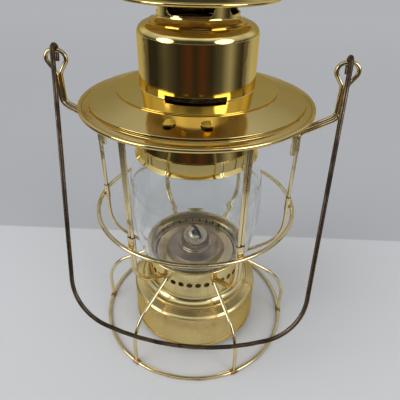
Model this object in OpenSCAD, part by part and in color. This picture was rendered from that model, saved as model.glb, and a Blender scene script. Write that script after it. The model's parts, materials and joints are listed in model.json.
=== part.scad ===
// Brass hand lantern with a wire guard, a clear globe, an oil fount and a swinging bail.
// Units are millimetres. +Z is up, the front is -Y, and the origin lies on the table, on the lantern's axis.
// An azimuth is measured from the front (-Y) towards +X.

/* [Wire guard] */
// Mean radius of the ring that the lantern stands on
base_ring_r = 72.4; // [66:0.1:80]
// Wire diameter of the base ring and the middle ring
ring_wire_d = 2.8; // [2:0.1:3.6]
// Depth of the worn flat under the base ring
base_flat = 0.3; // [0.1:0.05:0.6]
// Distance of the uprights from the axis
upright_r = 65.2; // [62:0.1:67]
// Diameter of one strand of a twin upright
strand_d = 2.1; // [1.6:0.1:2.6]
// Free gap between two strands that lie side by side
strand_gap = 0.08; // [0.05:0.01:0.3]
// Radius of the bend that leads an upright in to the neck collar
upright_bend_r = 26; // [20:0.5:30]
// Fall of the last, straight stretch of an upright below level
upright_fall = 30; // [20:1:40]
// Height where the uprights meet the neck collar
upright_seat_z = 62.4; // [61.5:0.1:63.5]
// Height of the middle ring
mid_ring_z = 108.4; // [104:0.2:125]
// Length of the sleeve that ties an upright to the middle ring
sleeve_len = 11; // [7:0.5:16]
// Share of the sleeve's length that stands above the middle ring
sleeve_above = 0.75; // [0.55:0.05:0.9]
// Wall of the sleeves and of the foot ties
sleeve_wall = 0.5; // [0.3:0.05:0.8]
// Wire diameter of the feet
foot_wire_d = 2.6; // [2:0.1:3]
// Radius of the bend in each foot
foot_bend_r = 30; // [24:0.5:34]
// Height of the centre of that bend
foot_bend_z = 20; // [16:0.5:22]
// How far a foot's end reaches into the neck collar
foot_tail = 2; // [1:0.1:2.5]
// Width of the tie at each foot, along the base ring
tie_w = 5; // [3:0.5:8]

/* [Ears] */
// Distance of each ear's middle from the axis
ear_x = 86; // [83:0.5:92]
// Wire diameter of the ears
ear_wire_d = 2.6; // [2:0.1:3]
// Height of the top wire of each eye, which the bail turns on
hinge_z = 208.8; // [205:0.2:216]
// Straight length at the top of each eye
eye_flat = 3; // [2:0.1:4]
// Corner radius at the top of each eye
eye_corner_r = 4.7; // [4.2:0.1:5.6]
// Angle at which the sides of an eye draw in below its corners
eye_draw = 35; // [25:1:45]
// Radius of the bend where the sides of an eye join the stem
eye_root_r = 6; // [4:0.5:8]
// Slope of the ear wire where it passes under the brim
ear_slope = 28; // [20:1:34]
// Height where an upright turns outwards to become an ear
ear_turn_z = 161; // [156:0.5:163]
// Inner radius of the two turns of the ear wire
ear_turn_r = 5; // [4:0.5:8]
// Length of the ear wire's loose end beside the upright
ear_tail = 12; // [8:0.5:20]
// Length of the sleeve that binds that end
ear_sleeve_len = 5; // [3:0.5:7]

/* [Bail] */
// Wire diameter of the bail
bail_wire_d = 2.9; // [2.4:0.1:3.2]
// Distance from the hinge line to the lowest point of the bail
bail_len = 192; // [188:0.5:194]
// Free gap between the hanging bail and the bends of the front feet
bail_rest_gap = 0.3; // [0.1:0.05:3]
// Angle by which each arm draws in below its hook
bail_taper = 2.5; // [1:0.1:3.5]
// Radius of the slight bend below each hook
bail_kink_r = 40; // [25:1:60]
// Radius of the bail's lower corners
bail_corner_r = 38; // [30:1:44]
// Radius of the bail's shallow bottom curve
bail_bottom_r = 150; // [130:1:180]
// Length of each hook's free end
hook_tail = 6; // [3:0.5:9]
// Free gap between a hook and the eye that it turns on
hook_gap = 0.15; // [0.1:0.01:0.3]

/* [Brim] */
// Outer radius of the brim
brim_r = 71.4; // [69:0.2:72]
// Height of the middle of the brim's rolled edge
brim_z = 183.2; // [180:0.2:185]
// Diameter of the rolled edge
brim_roll_d = 2.8; // [2:0.1:3.4]
// Height from the rolled edge up to the step of the brim
brim_step_h = 3.7; // [3:0.1:6]
// Distance from the outer radius in to the step
brim_step_in = 6.2; // [3:0.1:7]
// Rise of the brim's face from the step to its inner seat
brim_rise = 4.4; // [2:0.1:6]
// Radius of the opening that the globe is lifted out through
opening_r = 46.8; // [46.6:0.1:47.4]
// Width of the flat seat round that opening
seat_w = 2.6; // [1.8:0.1:4]
// Thickness of the sheet brass
sheet_t = 0.9; // [0.6:0.05:1.2]
// Distance of the two rivets from the axis
rivet_r = 55.7; // [54:0.1:60]
// Angle from the middle of the latch plate to each rivet
rivet_half_angle = 10.1; // [8:0.1:12]
// Azimuth of the middle of the latch plate
latch_az = 1.5; // [-10:0.5:10]
// Radius of a rivet's head
rivet_head_r = 2.3; // [1.8:0.1:3]
// Height of a rivet's head
rivet_head_h = 1.3; // [0.8:0.1:1.8]
// Radius of a rivet's shank
rivet_shank_r = 1.2; // [0.8:0.1:1.5]
// Width of the latch plate under the brim
latch_w = 6.4; // [5.6:0.2:8]
// Thickness of the latch plate
latch_t = 0.8; // [0.5:0.1:1.2]

/* [Lid] */
// Radius of the lid's flange, which sits on the brim
flange_r = 48.2; // [47.9:0.1:49]
// Outer radius of the crown
crown_r = 34.5; // [31:0.1:37]
// Height of the crown from the flange's top to its top
crown_h = 35.7; // [30:0.2:42]
// Radius of the crown's shoulder
shoulder_r = 8; // [5:0.2:9]
// Radius of the cove between the flange and the crown
cove_r = 3.4; // [2:0.1:5]
// Azimuth of the middle of the slot in the crown's foot
slot_az = 4.5; // [-10:0.5:10]
// Half of the angle that the slot covers
slot_half_angle = 29; // [15:1:40]
// Height of the slot
slot_h = 2.6; // [1.5:0.1:3.4]
// Outer radius of the vent collar
vent_r = 23; // [20:0.1:24.5]
// How far the vent collar flares at its foot
vent_flare = 5.8; // [3:0.1:6]
// Height of the vent collar
vent_h = 23; // [20:0.2:28]
// Angle that each vent window covers
window_angle = 66; // [50:1:72]
// Height of the vent windows
window_h = 13.5; // [10:0.5:15]
// Height of the windows' sill above the collar's foot
window_sill = 5; // [4.5:0.1:6]
// Number of vent windows
window_count = 4; // [3:1:4]
// Azimuth of the middle of the front window
window_az = -6; // [-20:1:20]
// Radius of the smoke cap's rim
cap_r = 44.7; // [40:0.1:46]
// Height from the crown's top to the cap's rim
cap_rim_h = 12.9; // [11:0.1:15]
// Height of the cap's dome above its rim
cap_dome_h = 17; // [14:0.5:22]
// Diameter of the cap's rolled rim
cap_roll_d = 2; // [1.5:0.1:2.6]
// Depth by which the cap's socket covers the vent collar
cap_socket = 4; // [3:0.2:6]

/* [Globe holder] */
// Outer radius of the tube that hangs from the lid
holder_tube_r = 36; // [35.5:0.1:38]
// Outer radius of the flange that joins that tube to the lid
holder_flange_r = 44; // [41:0.1:45.5]
// Outer radius of the spring band that grips the globe
band_r = 37.9; // [37.5:0.1:40]
// Radius of the flared lip under the band
lip_r = 39.9; // [39.7:0.1:41.5]
// Depth by which the band and its lip cover the globe's upper neck
holder_grip = 10.4; // [9.4:0.1:12]
// Height of the flared lip
lip_h = 2.4; // [1.5:0.1:3]
// Height of the spring band above the lip
band_h = 6.2; // [5:0.2:8]
// Number of spring tongues in the band
tongue_count = 5; // [4:1:7]
// Angle that each spring tongue covers
tongue_angle = 23; // [15:1:28]
// Azimuth of the first spring tongue
tongue_az = -31.5; // [-45:0.5:45]
// Width of the saw cuts beside the tongues
saw_w = 0.6; // [0.4:0.1:1]

/* [Globe] */
// Greatest outer radius of the globe
globe_r = 46.2; // [44:0.1:46.4]
// Radius of the long curve of the globe's side
globe_curve_r = 150; // [120:1:220]
// Outer radius of the globe's two necks
globe_neck_r = 34.7; // [34:0.1:34.8]
// Wall of the globe
globe_wall = 2; // [1.5:0.1:2.6]
// Height of the globe
globe_h = 96.5; // [95:0.5:98]
// Height of the straight upper neck
globe_neck_h = 4.4; // [3:0.1:6]
// Height of the shoulder below the upper neck
globe_shoulder_h = 24; // [20:0.5:30]
// Height of the straight lower neck, inside the collar
globe_foot_h = 7.2; // [7:0.1:8]
// Height of the shoulder above the lower neck
globe_foot_shoulder_h = 7; // [6.5:0.1:12]

/* [Neck collar] */
// Outer radius of the perforated band
collar_r = 36; // [35.6:0.1:36.6]
// Thickness of the neck collar's sheet
collar_t = 0.8; // [0.6:0.05:1]
// Outer radius of the collar's foot
collar_foot_r = 42.6; // [41:0.1:43]
// Height of the rounded foot below the perforated band
collar_foot_h = 12; // [9:0.2:13]
// Height of the step under the upper band
collar_step_z = 65.6; // [65.4:0.1:67]
// Width of that step
collar_step = 1.2; // [0.9:0.05:1.6]
// Height of the lip
collar_lip_z = 70.8; // [69.5:0.1:72]
// Diameter of the rolled lip
collar_lip_d = 1.6; // [1.2:0.1:2]
// Number of air holes
hole_count = 36; // [30:6:42]
// Diameter of an air hole
hole_d = 3.8; // [3.7:0.05:4.2]
// Height of the row of air holes
hole_z = 58; // [57:0.1:58.5]
// Height of the seat that the globe stands on
globe_seat_z = 63.4; // [63:0.1:64]
// Thickness of the globe seat
globe_seat_t = 1.2; // [0.8:0.1:1.4]
// Radius of the opening in the globe seat
globe_seat_bore = 31.6; // [31:0.1:33]
// Free gap between pieces that are seated in each other
seat_gap = 0.05; // [0.03:0.01:0.2]

/* [Fount] */
// Outer radius of the fount
fount_r = 48.6; // [44:0.1:52]
// Height of the fount's underside
fount_z = 5; // [3:0.2:8]
// Height of the edge of the fount's shoulder
fount_edge_z = 35.6; // [30:0.2:37]
// Height of the fount's top
fount_top_z = 40.4; // [39:0.1:40.6]
// Free gap between the fount's top and the neck collar above it
fount_gap = 0.4; // [0.3:0.05:0.8]
// Radius where the fount's shoulder meets its top
fount_top_r = 42.2; // [38:0.1:43]
// Height of the rolled seam at the fount's foot
seam_h = 2.4; // [1.6:0.1:3.4]
// How far the seam stands out of the wall
seam_out = 0.5; // [0.3:0.05:0.8]
// Rise of the hollow under the fount
bottom_rise = 2; // [1:0.1:3]
// Width and height of the chamfer at the edge of the fount's shoulder
fount_chamfer = 1.5; // [0.8:0.1:2]

/* [Burner] */
// Outer radius of the burner's neck
burner_neck_r = 12.3; // [11:0.1:13]
// Wall of the burner's pieces
burner_t = 1; // [0.8:0.05:1.2]
// Outer radius of the screw ring that the burner sits in
screw_ring_r = 15; // [14.4:0.1:17]
// Height of the screw ring above the fount's top
screw_ring_h = 6; // [4:0.2:6.6]
// Height where the burner's neck starts to widen
burner_flare_z = 53; // [52.6:0.1:54]
// Outer radius of the burner's deck
deck_r = 30; // [27:0.1:30.4]
// Height of the deck's rim
deck_rim_z = 64; // [62:0.2:65]
// Radius of the deck's raised disc
disc_r = 20.6; // [18:0.1:23]
// Rise of that disc above the rim
disc_rise = 3.6; // [2.4:0.1:5]
// Radius of the dome's foot
dome_r = 12; // [11:0.1:14]
// Height of the dome above the disc
dome_h = 9; // [8:0.1:11]
// Share of the foot's radius that the dome draws in to
dome_waist = 0.68; // [0.6:0.02:0.9]
// Height above the disc where the slot in the dome starts
dome_slot_h = 2.7; // [2:0.1:4]
// Azimuth of the wick's slot
wick_az = 35; // [34:0.5:44]
// Width of the wick
wick_w = 15; // [12:0.1:16]
// Thickness of the wick
wick_t = 1.8; // [1.4:0.1:2.2]
// Length of the wick
wick_len = 58; // [50:1:60]
// Height of the wick's top above the disc
wick_out = 4.6; // [3:0.1:6]
// Free gap between the wick and what it passes through
wick_gap = 0.35; // [0.3:0.05:0.5]
// Wall of the wick tube
wick_tube_t = 0.7; // [0.5:0.05:0.9]
// Height of the lower end of the wick tube
wick_tube_z = 42; // [41.5:0.1:44]
// Distance from the disc down to the top of the wick tube
wick_tube_below = 0.4; // [0.2:0.1:1.5]
// Thickness of the plate that holds the wick tube in the burner's neck
wick_plate_t = 1; // [0.8:0.1:1.6]
// Height of the raiser's spindle
spindle_z = 50; // [49.6:0.1:50.4]
// Radius of the raiser's spindle
spindle_r = 1.1; // [0.9:0.05:1.3]
// Free gap between the spindle and the notch in the neck collar
notch_gap = 0.5; // [0.4:0.05:0.8]
// Clearance of the pieces that are pressed on to the spindle
press_gap = 0.01; // [0.01:0.005:0.03]
// Running clearance of the spindle in its bores
spindle_gap = 0.05; // [0.02:0.01:0.09]
// Radius of the toothed wheels that lift the wick
wheel_r = 3; // [2.6:0.1:3.4]
// Thickness of a toothed wheel
wheel_t = 1; // [0.8:0.1:1.4]
// Height of a wheel's teeth
tooth_h = 0.8; // [0.5:0.1:1.2]
// Number of teeth on a wheel
wheel_teeth = 14; // [13:1:20]
// Distance between the two wheels
wheel_pitch = 7; // [5:0.1:8]
// Radius of the raiser's knob
knob_r = 4.6; // [3.6:0.1:5.2]
// Thickness of the knob
knob_t = 2.6; // [1.8:0.1:4]
// Number of grooves round the knob
knob_grooves = 20; // [14:1:28]
// Free gap between the knob and the neck collar
knob_gap = 1; // [0.6:0.1:2]

/* [Hidden] */
$fn = 64;

// Colours as they show
BRASS = [0.80, 0.62, 0.27];
PALE_BRASS = [0.84, 0.74, 0.48];
DULL_BRASS = [0.55, 0.45, 0.30];
BRONZE = [0.24, 0.17, 0.10];
GLASS = [0.80, 0.86, 0.88, 0.35];
COTTON = [0.86, 0.83, 0.74];

// Azimuths of the six feet, of the four plain uprights and of the two ears
FOOT_AZ = [30, 90, 150, 210, 270, 330];
UPRIGHT_AZ = [30, 150, 210, 330];
EAR_AZ = [90, 270];

// Room that a cut is given past the face it starts from
past = 1;
// Sides of a wire, and the least distance between two of its rings
wire_sides = 8;
repeat_gap = 0.001;
// Greatest turn between two points of a wire, of a spun curve and of the smoke cap
wire_step = 12;
spun_step = 7.5;
cap_step = 2;
// Rings along the globe's side
globe_steps = 56;
// Rounds of the search for the bail's lean
lean_rounds = 8;
ring_z = ring_wire_d / 2 - base_flat;
mid_ring_r = upright_r + ear_wire_d / 2 + sleeve_wall + 2 * seat_gap + ring_wire_d / 2;
sleeve_z = mid_ring_z - sleeve_len * (1 - sleeve_above);
strand_pitch = strand_d + strand_gap;
collar_in = collar_r - collar_t;
collar_z = fount_top_z + fount_gap;

// Where an upright's bend ends and where it starts
upright_turn = 90 - upright_fall;
bend_end_r = upright_r - upright_bend_r * (1 - cos(upright_turn));
bend_end_z = upright_seat_z + (bend_end_r - collar_r) * tan(upright_fall);
bend_z = bend_end_z + upright_bend_r * sin(upright_turn);

// The foot's straight stretch leaves the air hole and runs into the bend as a tangent
foot_c = [base_ring_r - foot_bend_r, foot_bend_z];
foot_hole = [collar_r - collar_t / 2, hole_z];
foot_span = foot_hole - foot_c;
foot_turn = atan2(foot_span[1], foot_span[0]) - acos(foot_bend_r / norm(foot_span));
foot_touch = foot_c + foot_bend_r * [cos(foot_turn), sin(foot_turn)];
foot_dir = (foot_touch - foot_hole) / norm(foot_touch - foot_hole);
foot_end_z = ring_z + ring_wire_d / 2 + sleeve_wall + 2 * seat_gap;

// The ear wire: two turns that share their centres between the two strands
ear_pitch = ear_wire_d + strand_gap;
ear_low_c = [upright_r + ear_turn_r, ear_turn_z];
ear_sweep = 90 - ear_slope;
ear_out = ear_x + ear_pitch / 2;
ear_high_r = ear_turn_r + ear_pitch;
ear_low_end = ear_low_c + ear_turn_r * [-cos(ear_sweep), sin(ear_sweep)];
ear_high_cx = ear_out - ear_high_r;
ear_high_start_x = ear_high_cx + ear_high_r * cos(ear_sweep);
ear_high_start_z = ear_low_end[1] + (ear_high_start_x - ear_low_end[0]) * tan(ear_slope);
ear_high_c = [ear_high_cx, ear_high_start_z + ear_high_r * sin(ear_sweep)];
eye_c = [eye_flat / 2, hinge_z - eye_corner_r];
eye_side = eye_c + eye_corner_r * [cos(eye_draw), -sin(eye_draw)];
eye_root_x = ear_pitch / 2 + eye_root_r * (1 - cos(eye_draw));
eye_root_z = eye_side[1] - (eye_side[0] - eye_root_x) / tan(eye_draw);
eye_foot_z = eye_root_z - eye_root_r * sin(eye_draw);
ear_sleeve_z = ear_turn_z - ear_tail + ear_sleeve_len / 2;

// The bail, drawn hanging straight down from the hinge line
hook_r = ear_wire_d / 2 + hook_gap + bail_wire_d / 2;
bail_rise = bail_len - bail_bottom_r;
bail_side = ear_x - bail_kink_r * (1 - cos(bail_taper)) - bail_corner_r * cos(bail_taper);
bail_fall = bail_rise + (bail_corner_r - bail_kink_r) * sin(bail_taper);
bail_reach = (bail_side - bail_fall * tan(bail_taper)) * cos(bail_taper);
bail_sweep = asin(bail_reach / (bail_bottom_r - bail_corner_r)) - bail_taper;
bail_corner = [
  (bail_bottom_r - bail_corner_r) * sin(bail_sweep),
  -bail_rise - (bail_bottom_r - bail_corner_r) * cos(bail_sweep)
];

// Seen from the side, the bail's plane just clears the bends of the front feet, which show as ellipses
bail_clear = (foot_wire_d + bail_wire_d) / 2 + bail_rest_gap - hook_r;
front_share = cos(FOOT_AZ[0]);
function lean(a, rounds) =
  let (bend = foot_bend_r * norm([front_share, tan(a)]))
  rounds <= 0 ? a : lean(
    atan((foot_c[0] * front_share + bend + bail_clear / cos(a)) / (hinge_z - foot_bend_z)),
    rounds - 1
  );
bail_lean = lean(0, lean_rounds);

// The brim's sheet, from its rolled edge in to the seat
roll_r = brim_r - brim_roll_d / 2;
step_r = brim_r - brim_step_in;
step_z = brim_z + brim_step_h;
seat_r = opening_r + seat_w;
seat_z = step_z + brim_rise;
face_slope = atan(brim_rise / (step_r - seat_r));
edge_r = brim_r - sheet_t;
edge_z = brim_z + brim_step_h / 2;
edge_slope = atan((step_z - edge_z) / (edge_r - step_r));
rivet_z = step_z + (step_r - rivet_r) * tan(face_slope);
// Underside of the brim over the outermost point of an upright, on its face or on its edge
function brim_under(slope) = step_z + (step_r - upright_r - strand_d / 2) * tan(slope) - sheet_t / cos(slope);
upright_top = min(brim_under(face_slope), brim_under(edge_slope)) - seat_gap;

// The lid, from the seat on the brim upwards
flange_top = seat_z + sheet_t;
crown_top = flange_top + crown_h;
vent_top = crown_top + vent_h;
cap_rim_z = crown_top + cap_rim_h;
cap_edge_r = cap_r - cap_roll_d / 2;
cap_sphere_r = (cap_edge_r * cap_edge_r + cap_dome_h * cap_dome_h) / (2 * cap_dome_h);
cap_top_z = cap_rim_z + cap_dome_h;
cap_open = asin(cap_edge_r / cap_sphere_r);
lip_z = globe_seat_z + globe_h - holder_grip;
band_z = lip_z + lip_h;
band_top = band_z + band_h;
holder_top = seat_z - seat_gap - sheet_t;

// The globe stands on its seat in the neck collar
globe_mid_z = globe_seat_z + globe_h / 2;

// The burner's dome, deck and wick
disc_z = deck_rim_z + disc_rise;
tube_top = disc_z - wick_tube_below;
wick_top = disc_z + wick_out;
tube_w = wick_w + 2 * wick_gap + 2 * wick_tube_t;
tube_d = wick_t + 2 * wick_gap + 2 * wick_tube_t;
spindle_y = wick_t / 2 + wick_gap + wheel_r;
spindle_in = wheel_pitch / 2 + 2 * wheel_t;
knob_x = sqrt(pow(collar_foot_r + knob_gap, 2) - pow(spindle_y, 2));
notch_w = 2 * (spindle_r + notch_gap);

// Points along an arc
function arc(c, r, from, to, step = wire_step) =
  let (n = ceil(abs(to - from) / step))
  [for (i = [0:n]) c + r * [cos(from + (to - from) * i / n), sin(from + (to - from) * i / n)]];
function along(a, b) = (b - a) / norm(b - a);
function left_of(v) = [-v[1], v[0]];
function leg(p, i) = left_of(along(p[i], p[i + 1]));
// Offset of a corner so that a sheet keeps its thickness on both sides of the corner
function corner(p, i) =
  let (a = leg(p, max(i - 1, 0)), b = leg(p, min(i, len(p) - 2)))
  (a + b) / (1 + a * b);
// Closed outline of a sheet that lies to the left of a path
function sheet(p, t) = concat(p, [for (i = [len(p) - 1:-1:0]) p[i] + t * corner(p, i)]);
function smooth(t) = let (u = min(max(t, 0), 1)) u * u * (3 - 2 * u);

module at(az) { rotate([0, 0, az - 90]) children(); }

// Points of the XZ plane, set into space
function upright_plane(p) = [for (q = p) [q[0], 0, q[1]]];
function unit(v) = v / norm(v);
// A path without the points that repeat where two arcs meet
function tidy(p) = [for (i = [0:len(p) - 1]) if (i == 0 || norm(p[i] - p[i - 1]) > repeat_gap) p[i]];
function heading(p, i) = unit(p[min(i + 1, len(p) - 1)] - p[max(i - 1, 0)]);
function square_to(v, t) = unit(v - (v * t) * t);
// Side directions along a path, each carried on from the one before
function sides(p, start) =
  [for (i = 0, v = square_to(start, heading(p, 0)); i < len(p);
    i = i + 1, v = i < len(p) ? square_to(v, heading(p, i)) : v) v];

// A round wire along a path in space
module wire(path, d, start = [0, 1, 0]) {
  p = tidy(path);
  v = sides(p, start);
  n = wire_sides;
  last = len(p) - 1;
  points = [for (i = [0:last], k = [0:n - 1])
    let (w = cross(heading(p, i), v[i]), a = 360 * k / n)
    p[i] + d / 2 * (cos(a) * v[i] + sin(a) * w)];
  walls = [for (i = [0:last - 1], k = [0:n - 1], half = [0, 1])
    let (a = i * n + k, b = i * n + (k + 1) % n)
    half == 0 ? [a, a + n, b] : [b, a + n, b + n]];
  ends = [for (k = [1:n - 2], half = [0, 1])
    half == 0 ? [0, k, k + 1] : [last * n, last * n + k + 1, last * n + k]];
  polyhedron(points, concat(walls, ends));
}

module torus(r, d) {
  rotate_extrude()
    translate([r, 0])
      circle(d = d);
}

module turned(points) {
  rotate_extrude()
    polygon(points);
}

// A wedge about the axis, for slots and windows
module wedge(az, half_angle, r, z, h) {
  translate([0, 0, z])
    rotate([0, 0, az - 90 - half_angle])
      rotate_extrude(angle = 2 * half_angle)
        square([r, h]);
}

// Outline with round ends that holds one strand or two
module strand_outline(d, count) {
  for (s = [0:count - 1])
    translate([0, (s - (count - 1) / 2) * strand_pitch])
      circle(d = d);
  if (count > 1)
    square([d, strand_pitch], center = true);
}

module base_ring() {
  color(BRASS)
    difference() {
      translate([0, 0, ring_z])
        torus(base_ring_r, ring_wire_d);
      translate([0, 0, -ring_wire_d])
        cylinder(h = ring_wire_d, r = base_ring_r + ring_wire_d);
    }
}

module mid_ring() {
  color(PALE_BRASS)
    translate([0, 0, mid_ring_z])
      torus(mid_ring_r, ring_wire_d);
}

// The part of a wire that runs from the neck collar up to the start of its straight stretch
function wire_root(d) =
  let (end_r = collar_r + seat_gap + d / 2 * sin(upright_fall))
  concat(
    [[end_r, bend_end_z - (bend_end_r - end_r) * tan(upright_fall)]],
    arc([upright_r - upright_bend_r, bend_z], upright_bend_r, -upright_turn, 0)
  );

module upright(az) {
  path = concat(wire_root(strand_d), [[upright_r, upright_top]]);
  color(PALE_BRASS)
    at(az)
      for (side = [-1, 1])
        translate([0, side * strand_pitch / 2, 0])
          wire(upright_plane(path), strand_d);
}

// One wire: up from the neck collar, out under the brim, round the eye and back beside itself
module ear_wire(az) {
  eye_mid = [ear_x, 0];
  path = concat(
    wire_root(ear_wire_d),
    arc(ear_low_c, ear_turn_r, 180, 180 - ear_sweep),
    arc(ear_high_c, ear_high_r, -ear_sweep, 0),
    arc(eye_mid + [ear_pitch / 2 + eye_root_r, eye_foot_z], eye_root_r, 180, 180 - eye_draw),
    arc(eye_mid + eye_c, eye_corner_r, -eye_draw, 90),
    arc(eye_mid + [-eye_c[0], eye_c[1]], eye_corner_r, 90, 180 + eye_draw),
    arc(eye_mid + [-ear_pitch / 2 - eye_root_r, eye_foot_z], eye_root_r, eye_draw, 0),
    arc(ear_high_c, ear_turn_r, 0, -ear_sweep),
    arc(ear_low_c, ear_high_r, 180 - ear_sweep, 180),
    [[upright_r - ear_pitch, ear_turn_z - ear_tail]]
  );
  color(PALE_BRASS)
    at(az)
      wire(upright_plane(path), ear_wire_d);
}

module ring_sleeve(az, d, count) {
  at(az)
    translate([upright_r, 0, sleeve_z])
      linear_extrude(sleeve_len)
        difference() {
          strand_outline(d + 2 * seat_gap + 2 * sleeve_wall, count);
          strand_outline(d + 2 * seat_gap, count);
        }
}

module ring_sleeves() {
  color(BRASS) {
    for (az = UPRIGHT_AZ)
      ring_sleeve(az, strand_d, 2);
    for (az = EAR_AZ)
      ring_sleeve(az, ear_wire_d, 1);
  }
}

// Each binds the loose end of an ear wire to its upright
module ear_sleeves() {
  bore_d = ear_wire_d + 2 * seat_gap;
  color(BRASS)
    for (az = EAR_AZ)
      at(az)
        translate([upright_r - ear_pitch / 2, 0, ear_sleeve_z])
          rotate([0, 0, 90])
            linear_extrude(ear_sleeve_len)
              difference() {
                pair_outline(bore_d + 2 * sleeve_wall);
                pair_outline(bore_d);
              }
}

module pair_outline(d) {
  for (side = [-1, 1])
    translate([0, side * ear_pitch / 2])
      circle(d = d);
  square([d, ear_pitch], center = true);
}

module foot(az) {
  path = concat(
    [foot_hole - foot_tail * foot_dir],
    arc(foot_c, foot_bend_r, foot_turn, 0),
    [[base_ring_r, foot_end_z]]
  );
  color(PALE_BRASS)
    at(az)
      wire(upright_plane(path), foot_wire_d);
}

// A band round the base ring under each foot, cut level with the ring's flat
module foot_ties() {
  bore_d = ring_wire_d + 2 * seat_gap;
  half_angle = tie_w / 2 / base_ring_r * 180 / PI;
  color(DULL_BRASS)
    for (az = FOOT_AZ)
      difference() {
        translate([0, 0, ring_z])
          rotate([0, 0, az - 90 - half_angle])
            rotate_extrude(angle = 2 * half_angle)
              translate([base_ring_r, 0])
                difference() {
                  circle(d = bore_d + 2 * sleeve_wall);
                  circle(d = bore_d);
                }
        translate([0, 0, -2 * ring_wire_d])
          cylinder(h = 2 * ring_wire_d, r = base_ring_r + 2 * ring_wire_d);
      }
}

module neck_collar() {
  lip_mid_r = collar_r + collar_step + collar_lip_d / 2 - collar_t / 2;
  foot_top = collar_z + collar_foot_h;
  foot_curve = [for (a = [0:spun_step:90]) [
    collar_r + (collar_foot_r - collar_r) * cos(a),
    collar_z + collar_foot_h * sin(a)
  ]];
  path = concat(foot_curve, [
    [collar_r, foot_top + collar_t],
    [collar_r, collar_step_z],
    [collar_r + collar_step, collar_step_z + collar_t],
    [collar_r + collar_step, collar_lip_z]
  ]);
  color(BRASS)
    difference() {
      union() {
        turned(sheet(path, collar_t));
        translate([0, 0, collar_lip_z])
          torus(lip_mid_r, collar_lip_d);
      }
      for (i = [0:hole_count - 1])
        at(i * 360 / hole_count)
          translate([collar_in - past, 0, hole_z])
            rotate([0, 90, 0])
              cylinder(h = collar_t + 2 * past, d = hole_d);
      at(wick_az + 180)
        translate([0, spindle_y - notch_w / 2, collar_z - past])
          cube([collar_foot_r + past, notch_w, spindle_z + notch_w / 2 - collar_z + past]);
    }
}

module globe_seat() {
  color(DULL_BRASS)
    translate([0, 0, globe_seat_z - globe_seat_t])
      difference() {
        cylinder(h = globe_seat_t, r = collar_in - seat_gap);
        translate([0, 0, -past])
          cylinder(h = globe_seat_t + 2 * past, r = globe_seat_bore);
      }
}

function globe_side(z) =
  let (
    belly = globe_r - globe_curve_r + sqrt(pow(globe_curve_r, 2) - pow(z - globe_mid_z, 2)),
    low = smooth((z - globe_seat_z - globe_foot_h) / globe_foot_shoulder_h),
    high = smooth((globe_seat_z + globe_h - globe_neck_h - z) / globe_shoulder_h)
  )
  globe_neck_r + (belly - globe_neck_r) * low * high;

module globe() {
  path = [for (i = [0:globe_steps])
    let (z = globe_seat_z + globe_h * i / globe_steps)
    [globe_side(z), z]
  ];
  color(GLASS)
    turned(sheet(path, globe_wall));
}

module brim() {
  path = [
    [edge_r, brim_z], [edge_r, edge_z], [step_r, step_z], [seat_r, seat_z], [opening_r, seat_z]
  ];
  color(BRASS)
    difference() {
      union() {
        turned(sheet(path, sheet_t));
        translate([0, 0, brim_z])
          torus(roll_r, brim_roll_d);
      }
      for (side = [-1, 1])
        at_rivet(side)
          translate([0, 0, -2 * sheet_t])
            cylinder(h = 4 * sheet_t, r = rivet_shank_r + seat_gap);
    }
}

// A rivet's foot on the brim's face, with its axis square to the face
module at_rivet(side) {
  at(latch_az + side * rivet_half_angle)
    translate([rivet_r, 0, rivet_z])
      rotate([0, face_slope, 0])
        children();
}

// A strip that lies against the underside of the brim's face
module latch_plate() {
  half_angle = rivet_half_angle + latch_w / 2 / rivet_r * 180 / PI;
  top = -(sheet_t + seat_gap) / cos(face_slope);
  function under(r) = step_z + (step_r - r) * tan(face_slope) + top;
  color(DULL_BRASS)
    difference() {
      rotate([0, 0, latch_az - 90 - half_angle])
        rotate_extrude(angle = 2 * half_angle)
          polygon([
            [rivet_r - latch_w / 2, under(rivet_r - latch_w / 2)],
            [rivet_r + latch_w / 2, under(rivet_r + latch_w / 2)],
            [rivet_r + latch_w / 2, under(rivet_r + latch_w / 2) - latch_t],
            [rivet_r - latch_w / 2, under(rivet_r - latch_w / 2) - latch_t]
          ]);
      for (side = [-1, 1])
        at_rivet(side)
          translate([0, 0, -sheet_t - 3 * latch_t])
            cylinder(h = sheet_t + 4 * latch_t, r = rivet_shank_r + seat_gap);
    }
}

module latch_rivets() {
  dome = (pow(rivet_head_r, 2) + pow(rivet_head_h, 2)) / (2 * rivet_head_h);
  grip = sheet_t + latch_t + 3 * seat_gap;
  color(BRASS)
    for (side = [-1, 1])
      at_rivet(side) {
        intersection() {
          translate([0, 0, rivet_head_h - dome + seat_gap])
            sphere(r = dome);
          translate([0, 0, seat_gap])
            cylinder(h = rivet_head_h + past, r = rivet_head_r + past);
        }
        translate([0, 0, -grip])
          cylinder(h = grip + 2 * seat_gap, r = rivet_shank_r);
        translate([0, 0, -grip - latch_t])
          cylinder(h = latch_t, r = rivet_head_r);
      }
}

// Flange, cove, wall and shoulder of the crown in one spun sheet
module crown() {
  top_r = vent_r - sheet_t;
  path = concat(
    [[flange_r, flange_top]],
    arc([crown_r + cove_r, flange_top + cove_r], cove_r, 270, 180, spun_step),
    arc([crown_r - shoulder_r, crown_top - shoulder_r], shoulder_r, 0, 90, spun_step),
    [[top_r, crown_top]]
  );
  color(BRASS)
    difference() {
      turned(sheet(path, sheet_t));
      wedge(slot_az, slot_half_angle, crown_r + cove_r, flange_top + cove_r / 2, slot_h);
    }
}

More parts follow.
